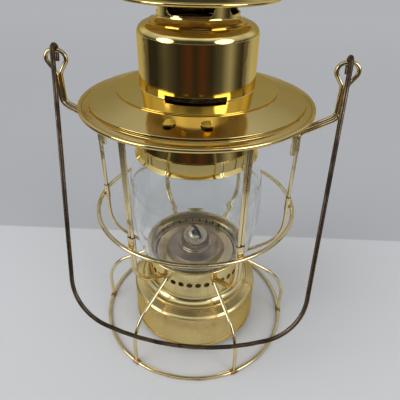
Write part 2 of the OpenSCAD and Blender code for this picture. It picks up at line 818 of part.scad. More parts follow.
module vent_collar() {
  foot_r = vent_r + vent_flare;
  flare_h = window_sill - 2 * sheet_t;
  flare = [for (a = [0:spun_step:90]) [
    foot_r - vent_flare * sin(a),
    crown_top + sheet_t + flare_h * (1 - cos(a))
  ]];
  path = concat(flare, [[vent_r, vent_top]]);
  foot = [
    [foot_r, crown_top], [foot_r, crown_top + sheet_t],
    [vent_r - sheet_t, crown_top + sheet_t], [vent_r - sheet_t, crown_top]
  ];
  color(BRASS)
    difference() {
      union() {
        turned(sheet(path, sheet_t));
        turned(foot);
      }
      for (i = [0:window_count - 1])
        wedge(
          window_az + i * 360 / window_count, window_angle / 2, vent_r + past,
          crown_top + window_sill, window_h
        );
    }
}

module smoke_cap() {
  sphere_c = [0, cap_top_z - cap_sphere_r];
  socket_in = vent_r + seat_gap;
  color(BRASS) {
    turned(concat(
      arc(sphere_c, cap_sphere_r, 90 - cap_open, 90, cap_step),
      arc(sphere_c, cap_sphere_r - sheet_t, 90, 90 - cap_open, cap_step)
    ));
    translate([0, 0, cap_rim_z])
      torus(cap_edge_r, cap_roll_d);
    intersection() {
      translate([0, 0, vent_top - cap_socket])
        difference() {
          cylinder(h = cap_top_z, r = socket_in + sheet_t);
          translate([0, 0, -past])
            cylinder(h = cap_top_z + 2 * past, r = socket_in);
        }
      translate([0, 0, sphere_c[1]])
        sphere(r = cap_sphere_r - sheet_t / 2);
    }
  }
}

module globe_holder() {
  path = [
    [lip_r, lip_z], [band_r, band_z], [band_r, band_top],
    [holder_tube_r, band_top + sheet_t], [holder_tube_r, holder_top], [holder_flange_r, holder_top]
  ];
  color(BRASS)
    difference() {
      turned(sheet(path, sheet_t));
      for (i = [0:tongue_count - 1])
        for (side = [-1, 1])
          at(tongue_az + i * 360 / tongue_count + side * tongue_angle / 2)
            translate([band_r - 2 * sheet_t, -saw_w / 2, lip_z - past])
              cube([lip_r, saw_w, band_top - lip_z + past]);
    }
}

// Points of one hook, over the eye from its free end to the front
function hook(x) = concat(
  [[x, hook_r, -hook_tail]],
  [for (q = arc([0, 0], hook_r, 0, 180)) [x, q[0], q[1]]]
);
function turned_back(p) = [for (i = [len(p) - 1:-1:0]) p[i]];

module bail() {
  kink_x = ear_x - bail_kink_r;
  front = concat(
    arc([kink_x, 0], bail_kink_r, 0, -bail_taper),
    arc(bail_corner, bail_corner_r, -bail_taper, bail_sweep - 90),
    arc([0, -bail_rise], bail_bottom_r, bail_sweep - 90, -bail_sweep - 90),
    arc([-bail_corner[0], bail_corner[1]], bail_corner_r, -bail_sweep - 90, bail_taper - 180),
    arc([-kink_x, 0], bail_kink_r, bail_taper - 180, -180)
  );
  path = concat(
    hook(ear_x),
    [for (q = front) [q[0], -hook_r, q[1]]],
    turned_back(hook(-ear_x))
  );
  color(BRONZE)
    translate([0, 0, hinge_z])
      rotate([-bail_lean, 0, 0])
        wire(path, bail_wire_d, [1, 0, 0]);
}

module fount_shell() {
  path = [
    [fount_r, fount_z + seam_h], [fount_r, fount_edge_z],
    [fount_r - fount_chamfer, fount_edge_z + fount_chamfer],
    [fount_top_r, fount_top_z - sheet_t], [fount_top_r - sheet_t, fount_top_z],
    [burner_neck_r + seat_gap, fount_top_z]
  ];
  color(BRASS)
    turned(sheet(path, sheet_t));
}

module fount_bottom() {
  rim_r = fount_r + seam_out;
  color(BRASS)
    turned([
      [rim_r - seam_out, fount_z], [rim_r, fount_z + seam_out], [rim_r, fount_z + seam_h - seat_gap],
      [fount_r - sheet_t, fount_z + seam_h - seat_gap],
      [fount_r - 2 * sheet_t, fount_z + sheet_t + bottom_rise], [0, fount_z + sheet_t + bottom_rise],
      [0, fount_z + bottom_rise], [fount_r - 3 * sheet_t - bottom_rise, fount_z + bottom_rise],
      [fount_r - 3 * sheet_t, fount_z]
    ]);
}

module screw_ring() {
  color(BRASS)
    translate([0, 0, fount_top_z])
      difference() {
        cylinder(h = screw_ring_h, r = screw_ring_r);
        translate([0, 0, -past])
          cylinder(h = screw_ring_h + 2 * past, r = burner_neck_r + seat_gap);
      }
}

// Direction of the wick's flat: the spindle runs along it towards the back
module on_wick() { at(wick_az + 180) children(); }

module burner_body() {
  neck_z = fount_top_z - sheet_t;
  path = [
    [burner_neck_r, neck_z], [burner_neck_r, burner_flare_z],
    [deck_r, deck_rim_z - 2 * burner_t], [deck_r, deck_rim_z - burner_t]
  ];
  color(DULL_BRASS)
    difference() {
      turned(sheet(path, burner_t));
      on_wick()
        translate([0, spindle_y, spindle_z])
          rotate([0, 90, 0])
            cylinder(h = 2 * burner_neck_r, r = spindle_r + spindle_gap);
    }
}

module burner_deck() {
  color(DULL_BRASS)
    turned([
      [dome_r + seat_gap, disc_z - burner_t], [disc_r - burner_t / 2, disc_z - burner_t],
      [disc_r + disc_rise / 2, deck_rim_z - burner_t], [deck_r, deck_rim_z - burner_t], [deck_r, deck_rim_z],
      [disc_r + disc_rise / 2 + burner_t / 2, deck_rim_z], [disc_r, disc_z], [dome_r + seat_gap, disc_z]
    ]);
}

// Outline of the dome's bell at an angle above its foot
function bell(a) = [
  dome_r * (dome_waist + (1 - dome_waist) * pow(cos(a), 2)) * cos(a),
  disc_z + dome_h * sin(a)
];

module burner_dome() {
  last = 90 - spun_step;
  slot_w = wick_t + 4 * wick_gap;
  color(BRASS)
    difference() {
      turned(concat(
        [[dome_r, disc_z - burner_t]],
        [for (a = [0:spun_step:last]) bell(a)],
        [[0, disc_z + dome_h], [0, disc_z + dome_h - burner_t]],
        [for (a = [last:-spun_step:0]) bell(a) - burner_t * [cos(a), sin(a)]],
        [[dome_r - burner_t, disc_z - burner_t]]
      ));
      on_wick()
        translate([-wick_w / 2 - wick_gap, -slot_w / 2, disc_z + dome_slot_h])
          cube([wick_w + 2 * wick_gap, slot_w, dome_h]);
    }
}

// The tube and the plate that holds it in the burner's neck
module wick_tube() {
  plate_z = wick_tube_z + wick_plate_t;
  window_x = wheel_pitch / 2 + 2 * wheel_t;
  color(DULL_BRASS)
    on_wick()
      difference() {
        union() {
          translate([-tube_w / 2, -tube_d / 2, wick_tube_z])
            cube([tube_w, tube_d, tube_top - wick_tube_z]);
          translate([0, 0, plate_z])
            cylinder(h = wick_plate_t, r = burner_neck_r - burner_t - seat_gap);
        }
        translate([-wick_w / 2 - wick_gap, -wick_t / 2 - wick_gap, wick_tube_z - past])
          cube([wick_w + 2 * wick_gap, wick_t + 2 * wick_gap, tube_top - wick_tube_z + 2 * past]);
        translate([-window_x, 0, spindle_z - wheel_r])
          cube([2 * window_x, tube_d, 2 * wheel_r]);
      }
}

module wick() {
  color(COTTON)
    on_wick()
      translate([-wick_w / 2, -wick_t / 2, wick_top - wick_len])
        cube([wick_w, wick_t, wick_len]);
}

module on_spindle() {
  on_wick()
    translate([0, spindle_y, spindle_z])
      rotate([0, 90, 0])
        children();
}

module wick_spindle() {
  color(DULL_BRASS)
    on_spindle()
      translate([0, 0, -spindle_in])
        cylinder(h = spindle_in + knob_x + knob_t, r = spindle_r);
}

module wick_wheels() {
  color(DULL_BRASS)
    on_spindle()
      for (side = [-1, 1])
        translate([0, 0, side * wheel_pitch / 2 - wheel_t / 2])
          linear_extrude(wheel_t)
            difference() {
              polygon([for (i = [0:2 * wheel_teeth - 1])
                let (r = i % 2 == 0 ? wheel_r : wheel_r - tooth_h)
                r * [cos(i * 180 / wheel_teeth), sin(i * 180 / wheel_teeth)]]);
              circle(r = spindle_r + press_gap);
            }
}

module wick_knob() {
  groove_r = knob_r * PI / knob_grooves / 2;
  color(BRASS)
    on_spindle()
      translate([0, 0, knob_x])
        linear_extrude(knob_t)
          difference() {
            circle(r = knob_r);
            circle(r = spindle_r + press_gap);
            for (i = [0:knob_grooves - 1])
              rotate(i * 360 / knob_grooves)
                translate([knob_r, 0])
                  circle(r = groove_r, $fn = 16);
          }
}

base_ring();
mid_ring();
upright(UPRIGHT_AZ[0]);  // upright_1
upright(UPRIGHT_AZ[1]);  // upright_2
upright(UPRIGHT_AZ[2]);  // upright_3
upright(UPRIGHT_AZ[3]);  // upright_4
ear_wire(EAR_AZ[0]);  // ear_wire_right
ear_wire(EAR_AZ[1]);  // ear_wire_left
ring_sleeves();
ear_sleeves();
foot(FOOT_AZ[0]);  // foot_1
foot(FOOT_AZ[1]);  // foot_2
foot(FOOT_AZ[2]);  // foot_3
foot(FOOT_AZ[3]);  // foot_4
foot(FOOT_AZ[4]);  // foot_5
foot(FOOT_AZ[5]);  // foot_6
foot_ties();
neck_collar();
globe_seat();
globe();
brim();
latch_plate();
latch_rivets();
crown();
vent_collar();
smoke_cap();
globe_holder();
bail();
fount_shell();
fount_bottom();
screw_ring();
burner_body();
burner_deck();
burner_dome();
wick_tube();
wick();
wick_spindle();
wick_wheels();
wick_knob();
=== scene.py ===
# %% [markdown]
# # A brass hand lantern, dressed piece by piece
#
# The packed solids give this lantern its size, its joints and the place of every piece. This lesson
# dresses them: each spun sheet, bent wire and blown wall is modelled again with smooth faces, takes the
# place of its solid, and gets a finish. Lengths are in millimetres in the text and are turned into
# Blender's metres by one factor.

# %% Load the solids
import json
import math

import bmesh
import bpy
from mathutils import Matrix, Vector


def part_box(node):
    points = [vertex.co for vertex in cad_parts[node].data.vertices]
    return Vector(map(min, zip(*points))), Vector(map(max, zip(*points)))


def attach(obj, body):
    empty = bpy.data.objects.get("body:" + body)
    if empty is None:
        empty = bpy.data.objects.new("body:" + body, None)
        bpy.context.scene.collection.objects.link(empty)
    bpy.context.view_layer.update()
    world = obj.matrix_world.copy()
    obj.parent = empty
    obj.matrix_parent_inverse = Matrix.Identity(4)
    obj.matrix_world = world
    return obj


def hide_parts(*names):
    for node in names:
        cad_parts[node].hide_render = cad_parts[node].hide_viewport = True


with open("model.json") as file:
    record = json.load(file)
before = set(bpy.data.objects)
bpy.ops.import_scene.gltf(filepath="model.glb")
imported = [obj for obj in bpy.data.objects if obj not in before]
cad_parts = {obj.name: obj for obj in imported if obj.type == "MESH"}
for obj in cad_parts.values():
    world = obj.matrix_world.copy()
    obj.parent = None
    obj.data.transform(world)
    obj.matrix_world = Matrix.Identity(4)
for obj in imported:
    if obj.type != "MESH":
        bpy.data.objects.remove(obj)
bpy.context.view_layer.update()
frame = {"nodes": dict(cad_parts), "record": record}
MM = 0.001

# %% [markdown]
# ## The camera
#
# The photo looks down at the lantern from close by, so the near rings are much wider than the far ones. A
# long lens from far away would frame the lantern too, but would lose that spread. The camera is therefore
# copied from a fit of the rings: its lens, its distance, its height, and the small turn and roll of the
# hand that held it. The lantern itself is turned six degrees to that view.

# %% Place the camera
VIEW_TURN, VIEW_RISE = math.radians(6.0), math.radians(33.95)
VIEW_AWAY, AIM_HEIGHT = 279.4 * MM, 108.45 * MM
HAND_TURN, HAND_ROLL = math.radians(-0.62), math.radians(0.79)
FOCAL_PIXELS, FRAME_PIXELS, SENSOR = 385.6, 400, 36.0


def add_object(name, data):
    """A new object in the scene."""
    made = bpy.data.objects.new(name, data)
    bpy.context.scene.collection.objects.link(made)
    return made


camera_data = bpy.data.cameras.new("view")
camera_data.sensor_width = SENSOR
camera_data.lens = FOCAL_PIXELS / FRAME_PIXELS * SENSOR
camera_data.clip_start = 10 * MM
camera = add_object("view", camera_data)
stand = Vector((0, -VIEW_AWAY * math.cos(VIEW_RISE), AIM_HEIGHT + VIEW_AWAY * math.sin(VIEW_RISE)))
around = Matrix.Rotation(VIEW_TURN, 4, "Z")
aim = Matrix.Rotation(math.pi / 2 - VIEW_RISE, 4, "X")
hand = Matrix.Rotation(HAND_TURN, 4, "Y") @ Matrix.Rotation(HAND_ROLL, 4, "Z")
camera.matrix_world = around @ Matrix.Translation(stand) @ aim @ hand
bpy.context.scene.camera = camera
print("camera stands at", [round(v / MM) for v in camera.matrix_world.translation], "mm")

# %% [markdown]
# ## Hanging a finished piece on its body
#
# Every piece ends the same way: its mesh is shaded smooth, with creases only where two faces meet at a
# real angle, it takes the place of the solids it stands for, and it moves with their body. One function
# does this for all, so no piece can be left without a body or a material slot.

# %% Finish a piece
BODY_OF = {n: b for b, ns in frame["record"]["behaviour"]["bodies"].items() for n in ns}
CREASE = math.radians(38)
SAME_POINT = 1e-7


def finish_piece(bm, name, finish, nodes, crease=CREASE, linings=()):
    """Turns a bmesh into a smooth piece that stands for CAD nodes. Linings are its further finishes."""
    bmesh.ops.remove_doubles(bm, verts=bm.verts, dist=SAME_POINT)
    mesh = bpy.data.meshes.new(name)
    bm.to_mesh(mesh)
    bm.free()
    mesh.shade_smooth()
    mesh.set_sharp_from_angle(angle=crease)
    for skin in (finish, *linings):
        mesh.materials.append(skin)
    piece = add_object(name, mesh)
    even = piece.modifiers.new("even shading", "WEIGHTED_NORMAL")
    even.keep_sharp = True
    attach(piece, BODY_OF[nodes[0]])
    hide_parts(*nodes)
    print(f"{name}: {len(mesh.polygons)} faces for {', '.join(nodes)}")
    return piece


def merge_in(bm, other):
    """Adds what another bmesh holds, and drops that one."""
    part = bpy.data.meshes.new("part")
    other.to_mesh(part)
    other.free()
    bm.from_mesh(part)
    bpy.data.meshes.remove(part)


# %% [markdown]
# ## Writing shaders as sums
#
# A finish is a small piece of arithmetic: so much tarnish here, so much polish there. Its nodes could be
# added and linked one by one, but the sum would then be hard to see. A class that wraps one socket lets
# the arithmetic be written as Python, and adds the Math nodes as it goes. Its method `node` adds any
# other node by its type, its settings and its sockets.

# %% A socket that can be added and multiplied


class Tone:
    """One value of a material's node tree."""

    def __init__(self, tree, socket=None):
        self.tree = tree
        self.socket = socket

    def node(self, kind, settings=None, sockets=None, out=0):
        """Adds a node: settings first, then the values or links of its sockets."""
        made = self.tree.nodes.new(kind)
        for key, value in (settings or {}).items():
            if key == "stops":
                ramp = made.color_ramp.elements
                while len(ramp) < len(value):
                    ramp.new(0.5)
                for stop, (place, colour) in zip(ramp, value):
                    stop.position = place
                    stop.color = colour
            else:
                setattr(made, key, value)
        for key, value in (sockets or {}).items():
            if isinstance(value, Tone):
                self.tree.links.new(value.socket, made.inputs[key])
            else:
                made.inputs[key].default_value = value
        return Tone(self.tree, made.outputs[out])

    def math(self, operation, a, b=0.0):
        return self.node("ShaderNodeMath", {"operation": operation}, {0: a, 1: b})

    def __add__(self, other):
        return self.math("ADD", self, other)

    def __sub__(self, other):
        return self.math("SUBTRACT", self, other)

    def __mul__(self, other):
        return self.math("MULTIPLY", self, other)

    def __truediv__(self, other):
        return self.math("DIVIDE", self, other)

    def __rsub__(self, other):
        return self.math("SUBTRACT", other, self)

    __radd__ = __add__
    __rmul__ = __mul__

    def between(self, low, high):
        """0 below low, 1 above high, and smooth in between."""
        values = {"Value": self, "From Min": low, "From Max": high}
        return self.node("ShaderNodeMapRange", {"interpolation_type": "SMOOTHSTEP"}, values)

    def split(self):
        """The three parts of a vector."""
        parts = self.node("ShaderNodeSeparateXYZ", sockets={0: self}).socket.node.outputs
        return [Tone(self.tree, part) for part in parts]

    def overlay(self, where, under, over):
        """One colour laid over another where a value is 1. Each is a Tone or three numbers."""
        pair = [c if isinstance(c, Tone) else (*c, 1.0) for c in (under, over)]
        values = {"Factor": where, 6: pair[0], 7: pair[1]}
        return self.node("ShaderNodeMix", {"data_type": "RGBA"}, values, out=2)

    def tint(self, dark, light):
        """A colour that runs from dark to light as this value runs from 0 to 1."""
        return self.overlay(self, dark, light)

    def towards(self, colour, where):
        """Another colour laid over this colour."""
        return self.overlay(where, self, colour)

    def noise(self, scale, detail, roughness=0.5):
        """Noise that changes with this place."""
        values = {"Vector": self, "Scale": scale, "Detail": detail, "Roughness": roughness}
        return self.node("ShaderNodeTexNoise", sockets=values)

    def bump(self, strength, depth, over=None):
        """Relief of a depth from this height, laid over another relief where one is given."""
        values = {"Strength": strength, "Distance": depth, "Height": self}
        if over:
            values["Normal"] = over
        return self.node("ShaderNodeBump", sockets=values)


print("a Tone has the methods", [name for name in vars(Tone) if not name.startswith("_")])

# %% [markdown]
# A new material brings its shader with it. A number that is the same all over a surface is set on the
# shader's own socket, and only what changes over the surface is linked. Two functions keep the two apart.

# %% Constants and links of a shader


def socket_name(key):
    """The name of a shader's socket, from a keyword such as base_color."""
    return key.replace("_", " ").title().replace("Ior", "IOR")


def new_finish(name, **constants):
    """A material, its shader and a Tone to start sums from."""
    material = bpy.data.materials.new(name)
    material.use_nodes = True
    shader = material.node_tree.nodes["Principled BSDF"]
    for key, value in constants.items():
        shader.inputs[socket_name(key)].default_value = value
    return material, shader, Tone(material.node_tree)


def feed(shader, **links):
    """Links tones to the shader's sockets."""
    for key, value in links.items():
        value.tree.links.new(value.socket, shader.inputs[socket_name(key)])


print("a keyword and its socket:", "specular_ior_level", "->", socket_name("specular_ior_level"))

# %% [markdown]
# ## Brass
#
# The lantern is spun and drawn brass, polished long ago. Three things show: the gold of the metal, faint
# rings that the spinning tool and the polishing cloth left round the axis, and a brown haze of tarnish
# that gathers in patches. The rings need the distance from the axis, which is worked out from the piece's
# own coordinates, so the same finish fits every spun piece. The real sheet can look nearly black where
# the room in front of it is dark, so the finish stays a clean mirror, a little wavy, and leaves that to
# the light. Only the brim has a satin skin, which a cloth has polished away at the front.

# %% Spun brass
GOLD, TARNISH, EDGE_GOLD = (0.86, 0.68, 0.27), (0.40, 0.22, 0.06), (0.92, 0.74, 0.38, 1.0)
DIM, BRIGHT = 0.93, 1.05
LATHE_STRETCH, LATHE_SLANT = 4.0, 1.7
RING_SCALE, HAZE_SCALE, SPECK_SCALE, DENT_SCALE, PEBBLE_SCALE = 420.0, 26.0, 330.0, 42.0, 620.0
RING_DEPTH, DENT_DEPTH, PEBBLE_DEPTH = 0.2 * MM, 0.4 * MM, 0.3 * MM
DENTED, PEBBLED = 0.3, 0.14


def spun_brass(name, clean=GOLD, haze=0.5, polish=0.07, rings=0.05, satin=0.0):
    """Polished sheet brass with rings round the axis, patches of haze and, where asked, satin sides."""
    material, shader, t = new_finish(name, metallic=1.0, specular_tint=EDGE_GOLD)
    place = t.node("ShaderNodeTexCoord", out="Object")
    x, y, z = place.split()
    radius = t.math("SQRT", x * x + y * y)
    turned = {0: radius * LATHE_STRETCH, 1: z * LATHE_STRETCH, 2: (radius + z) * LATHE_SLANT}
    lines = t.node("ShaderNodeCombineXYZ", sockets=turned).noise(RING_SCALE, 4.0, 0.65)
    cloud = place.noise(HAZE_SCALE, 6.0, 0.62)
    stain = cloud.between(0.50, 0.78)
    dots = place.noise(SPECK_SCALE, 3.0, 0.7).between(0.66, 0.80)
    dim = [DIM * c for c in clean]
    bright = [min(1.0, BRIGHT * c) for c in clean]
    colour = cloud.between(0.25, 0.75).tint(dim, bright)
    colour = colour.towards(TARNISH, stain * (0.30 * haze) + dots * (0.35 * haze))
    rough = lines * 0.04 + stain * (0.20 * haze) + dots * (0.18 * haze) + (polish - 0.02)
    relief = place.noise(DENT_SCALE, 2.0).bump(DENTED, DENT_DEPTH, over=lines.bump(rings, RING_DEPTH))
    if satin:
        sides = 1 - (0 - y / radius).between(0.70, 0.88)
        rough = rough + sides * satin
        pebbles = place.noise(PEBBLE_SCALE, 2.0) * sides
        relief = pebbles.bump(PEBBLED, PEBBLE_DEPTH, over=relief)
    feed(shader, base_color=colour, roughness=rough, normal=relief)
    return material


bright_sheet = spun_brass("bright_sheet_brass", haze=0.35)
brim_sheet = spun_brass("brim_sheet_brass", (0.79, 0.61, 0.26), haze=0.7, polish=0.08, satin=0.16)
collar_sheet = spun_brass("collar_sheet_brass", (0.84, 0.69, 0.34), haze=0.6, polish=0.22, rings=0.12)
fount_sheet = spun_brass("fount_sheet_brass", (0.80, 0.63, 0.29), haze=0.9, polish=0.22, rings=0.12)
print("spun brass finishes:", [m.name for m in (bright_sheet, brim_sheet, collar_sheet, fount_sheet)])

# %% [markdown]
# The guard wires are drawn, not spun, so their brass is paler and has no rings. Handling has dulled them
# in short stretches. The bail is the same wire gone dark brown, with the metal showing through where it
# has rubbed. The burner's body, deck and dome were never polished bright, the foot ties have browned, and
# years of lamp smoke have blackened the inside of the lid. The same dark finish is also painted shade, on
# the walls of the latch lugs and inside the neck collar up to its air holes. Each could have a shader of
# its own, but all of them are a darker skin over a paler metal, so one function makes them from two
# colours and the skin's spread.

# %% Wire, bail and burner brass
PATCH_SCALE, GRAIN_SCALE, GRAIN_DEPTH, GRAIN = 60.0, 900.0, 0.2 * MM, 0.12


def drawn_brass(name, clean, dull, cover, polish, spread):
    """Brass that shows through a darker skin."""
    material, shader, t = new_finish(name, metallic=1.0, specular_tint=EDGE_GOLD)
    place = t.node("ShaderNodeTexCoord", out="Object")
    fine = place.noise(GRAIN_SCALE, 3.0, 0.7)
    patch = place.noise(PATCH_SCALE, 6.0, 0.6) + (fine - 0.5) * 0.25
    skin = patch.between(cover, cover + spread)
    rough = skin * 0.20 + fine * 0.08 + polish
    relief = (fine + skin * 0.5).bump(GRAIN, GRAIN_DEPTH)
    feed(shader, base_color=skin.tint(clean, dull), roughness=rough, normal=relief)
    return material


wire_brass = drawn_brass("drawn_wire_brass", (0.80, 0.68, 0.42), (0.42, 0.32, 0.17), 0.49, 0.09, 0.22)
bail_brown = drawn_brass("browned_bail_brass", (0.19, 0.14, 0.10), (0.055, 0.042, 0.032), 0.34, 0.20, 0.30)
burner_brass = drawn_brass(
    "unpolished_burner_brass", (0.84, 0.68, 0.40), (0.62, 0.48, 0.27), 0.42, 0.26, 0.30
)
deck_brown = drawn_brass("browned_deck_brass", (0.50, 0.38, 0.27), (0.32, 0.24, 0.17), 0.40, 0.28, 0.30)
dome_brass = drawn_brass("rubbed_dome_brass", (0.58, 0.51, 0.38), (0.36, 0.31, 0.22), 0.44, 0.10, 0.30)
tie_brass = drawn_brass("brown_tie_brass", (0.44, 0.28, 0.12), (0.20, 0.11, 0.04), 0.40, 0.30, 0.30)
satin_brass = drawn_brass("satin_underside_brass", (0.88, 0.72, 0.42), (0.70, 0.54, 0.28), 0.40, 0.42, 0.30)
soot_and_painted_shade = drawn_brass("soot_and_painted_shade_inside", (0.16, 0.10, 0.05), (0.025, 0.018, 0.012), 0.30, 0.32, 0.34)
print("wire finishes:", [m.name for m in (wire_brass, bail_brown, tie_brass)])
print("burner finishes:", [m.name for m in (burner_brass, deck_brown, dome_brass)])
print("inside finishes:", [m.name for m in (satin_brass, soot_and_painted_shade)])

# %% [markdown]
# The globe is clear blown glass. Its wall is two surfaces with real thickness between them, so the light
# is bent twice, and the rims look darker, as they do on the real one. A single thin skin would be
# simpler, but it would show no rims. The wick is a woven cotton tape, which fine bands of a wave texture
# stand for.

# %% Glass and cotton
WEAVE_SCALE, WEAVE_DEPTH = 320.0, 0.4 * MM
clear_glass = new_finish(
    "clear_globe_glass", base_color=(0.95, 0.965, 0.965, 1.0), roughness=0.0, ior=1.45,
    transmission_weight=1.0, specular_ior_level=0.12,
)[0]
cotton, cotton_shader, cotton_tone = new_finish("woven_cotton", roughness=0.9)
cotton_place = cotton_tone.node("ShaderNodeTexCoord", out="Object")
bands = {"Vector": cotton_place, "Scale": WEAVE_SCALE, "Distortion": 1.5}
weave = cotton_tone.node("ShaderNodeTexWave", {"bands_direction": "Z"}, bands, out=1)
thread = weave.tint((0.50, 0.44, 0.33), (0.82, 0.77, 0.66))
feed(cotton_shader, base_color=thread, normal=weave.bump(0.6, WEAVE_DEPTH))
print("clear and woven finishes:", clear_glass.name, cotton.name)

# %% [markdown]
# ## Bending wire
#
# The guard is made of wire that a bender has run straight and turned round pegs. A curve with a round
# bevel would look like wire too, but it would only pass near the pegs. Here the bender's own two moves
# make the wire. A circle is its end: extruding it to a point is a straight run, and spinning it about a
# peg is a bend.

# %% A wire bender
WIRE_SIDES, BEND_STEP, NO_STEP = 20, math.radians(5), 1e-6
VERT, EDGE, FACE = bmesh.types.BMVert, bmesh.types.BMEdge, bmesh.types.BMFace


def only(kind, geom):
    """The parts of one kind among what an operator made."""
    return [g for g in geom if isinstance(g, kind)]


def edges_of(verts):
    """The edges that meet at some vertices."""
    return list({e for v in verts for e in v.link_edges})


def ring_at(bm, place, heading, d):
    """A capped circle square to the heading, and its edges."""
    turn = Vector((0, 0, 1)).rotation_difference(heading).to_matrix().to_4x4()
    facing = Matrix.Translation(place) @ turn
    made = bmesh.ops.create_circle(bm, cap_ends=True, segments=WIRE_SIDES, radius=d / 2, matrix=facing)
    return edges_of(made["verts"])


def run_to(bm, edges, step):
    """Extrudes the wire's end along a straight step."""
    made = bmesh.ops.extrude_edge_only(bm, edges=edges)["geom"]
    bmesh.ops.translate(bm, verts=only(VERT, made), vec=step)
    return only(EDGE, made)


def turn_round(bm, edges, peg, axis, angle):
    """Spins the wire's end about a peg."""
    steps = max(2, math.ceil(abs(angle) / BEND_STEP))
    made = bmesh.ops.spin(bm, geom=edges, cent=peg, axis=axis, angle=angle, steps=steps)
    return only(EDGE, made["geom_last"])


def bend_wire(bm, d, start, heading, moves):
    """Lays one wire: moves are ("run", point) and ("turn", peg, axis, angle)."""
    here = Vector(start)
    edges = ring_at(bm, here, Vector(heading), d)
    for move in moves:
        if move[0] == "run":
            goal = Vector(move[1])
            if (goal - here).length > NO_STEP:
                edges = run_to(bm, edges, goal - here)
            here = goal
        else:
            peg, axis, angle = Vector(move[1]), Vector(move[2]), move[3]
            edges = turn_round(bm, edges, peg, axis, angle)
            here = peg + Matrix.Rotation(angle, 3, axis) @ (here - peg)
    bmesh.ops.edgeloop_fill(bm, edges=edges)


print("a wire has", WIRE_SIDES, "sides and a ring of them every", round(math.degrees(BEND_STEP)), "degrees")

# %% [markdown]
# The bends are written as the source of the solids writes them, as a centre, a radius and the two angles
# of an arc in the upright plane, so each smooth wire lies along its solid. A wire is bent on the
# right-hand side and then turned to its place round the axis. Cut ends are never knife-sharp, so a small
# bevel rounds them.

# %% From arcs to moves, and round ends
RIM_ANGLE, WIRE_ROUND = 60.0, 0.25


def arcs_to_moves(arcs, end=None):
    """Moves for arcs (centre, radius, from, to) of the XZ plane, in millimetres, joined by straight runs."""
    moves = []
    for (cx, cz), r, first, last in arcs:
        a = math.radians(first)
        moves.append(("run", Vector((cx + r * math.cos(a), 0, cz + r * math.sin(a))) * MM))
        moves.append(("turn", Vector((cx, 0, cz)) * MM, (0, -1, 0), math.radians(last - first)))
    if end:
        moves.append(("run", Vector((end[0], 0, end[1])) * MM))
    return moves


def turn_about_axis(bm, verts, az):
    """Turns what was made on +X to an azimuth, counted from the front towards the right."""
    matrix = Matrix.Rotation(math.radians(az - 90), 3, "Z")
    bmesh.ops.rotate(bm, verts=verts, cent=(0, 0, 0), matrix=matrix)


def hard_edges(bm, angle):
    """The edges where two faces meet at more than an angle."""
    return [e for e in bm.edges if len(e.link_faces) == 2 and e.calc_face_angle() > math.radians(angle)]


def round_off(bm, edges, width, segments):
    """Bevels edges by a width in millimetres."""
    bmesh.ops.bevel(
        bm, geom=edges, offset=width * MM, segments=segments, profile=0.5, affect="EDGES", material=-1,
        clamp_overlap=True,
    )


def soften_ends(bm, width=WIRE_ROUND):
    """Rounds the rims of flat wire ends."""
    rims = hard_edges(bm, RIM_ANGLE)
    bmesh.ops.recalc_face_normals(bm, faces=bm.faces)
    round_off(bm, rims, width, segments=3)


print("rims sharper than", RIM_ANGLE, "degrees are rounded by", WIRE_ROUND, "mm")

# %% [markdown]
# ### Uprights
#
# Four uprights are a pair of thin strands side by side. Each rises from the neck collar, swings out in a
# wide bend and runs up to the brim. One flat strip would be quicker, but the groove between the strands
# shows in the photo, so both strands are bent.

# %% Lay the uprights
COLLAR_R, UPRIGHT_R, UPRIGHT_BEND_R, ROOT_Z = 36.0, 65.2, 26.0, 62.4
UPRIGHT_TURN, UPRIGHT_FALL = 60.0, math.radians(30.0)
STRAND_D, STRAND_PITCH, BRIM_CLEAR, FIT = 2.1, 2.18, 1.6, 0.05
UPRIGHT_AZ = (30, 150, 210, 330)
bend_end_r = UPRIGHT_R - UPRIGHT_BEND_R * (1 - math.cos(math.radians(UPRIGHT_TURN)))
bend_end_z = ROOT_Z + (bend_end_r - COLLAR_R) * math.tan(UPRIGHT_FALL)
bend_z = bend_end_z + UPRIGHT_BEND_R * math.sin(math.radians(UPRIGHT_TURN))
root_heading = (math.cos(UPRIGHT_FALL), 0, math.sin(UPRIGHT_FALL))
upright_arc = ((UPRIGHT_R - UPRIGHT_BEND_R, bend_z), UPRIGHT_BEND_R, -UPRIGHT_TURN, 0)


def wire_root(d):
    """Where a wire of a given thickness starts, just off the neck collar."""
    r = COLLAR_R + FIT + d / 2 * math.sin(UPRIGHT_FALL)
    return Vector((r, 0, bend_end_z - (bend_end_r - r) * math.tan(UPRIGHT_FALL))) * MM


upright_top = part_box("upright_1")[1].z / MM - BRIM_CLEAR
upright_moves = arcs_to_moves([upright_arc], (UPRIGHT_R, upright_top))
for number, az in enumerate(UPRIGHT_AZ, 1):
    bm = bmesh.new()
    for side in (-1, 1):
        strand = bmesh.new()
        bend_wire(strand, STRAND_D * MM, wire_root(STRAND_D), root_heading, upright_moves)
        soften_ends(strand)
        bmesh.ops.translate(strand, verts=strand.verts, vec=(0, side * STRAND_PITCH / 2 * MM, 0))
        merge_in(bm, strand)
    turn_about_axis(bm, bm.verts, az)
    finish_piece(bm, f"twin_upright_{number}", wire_brass, [f"upright_{number}"])

# %% [markdown]
# ### Feet
#
# Six single wires leave the air holes of the collar and curve down to the base ring. Where the straight
# part touches the bend could be found by trying, but a tangent from a point to a circle is exact: its
# angle at the peg follows from the radius and the distance.

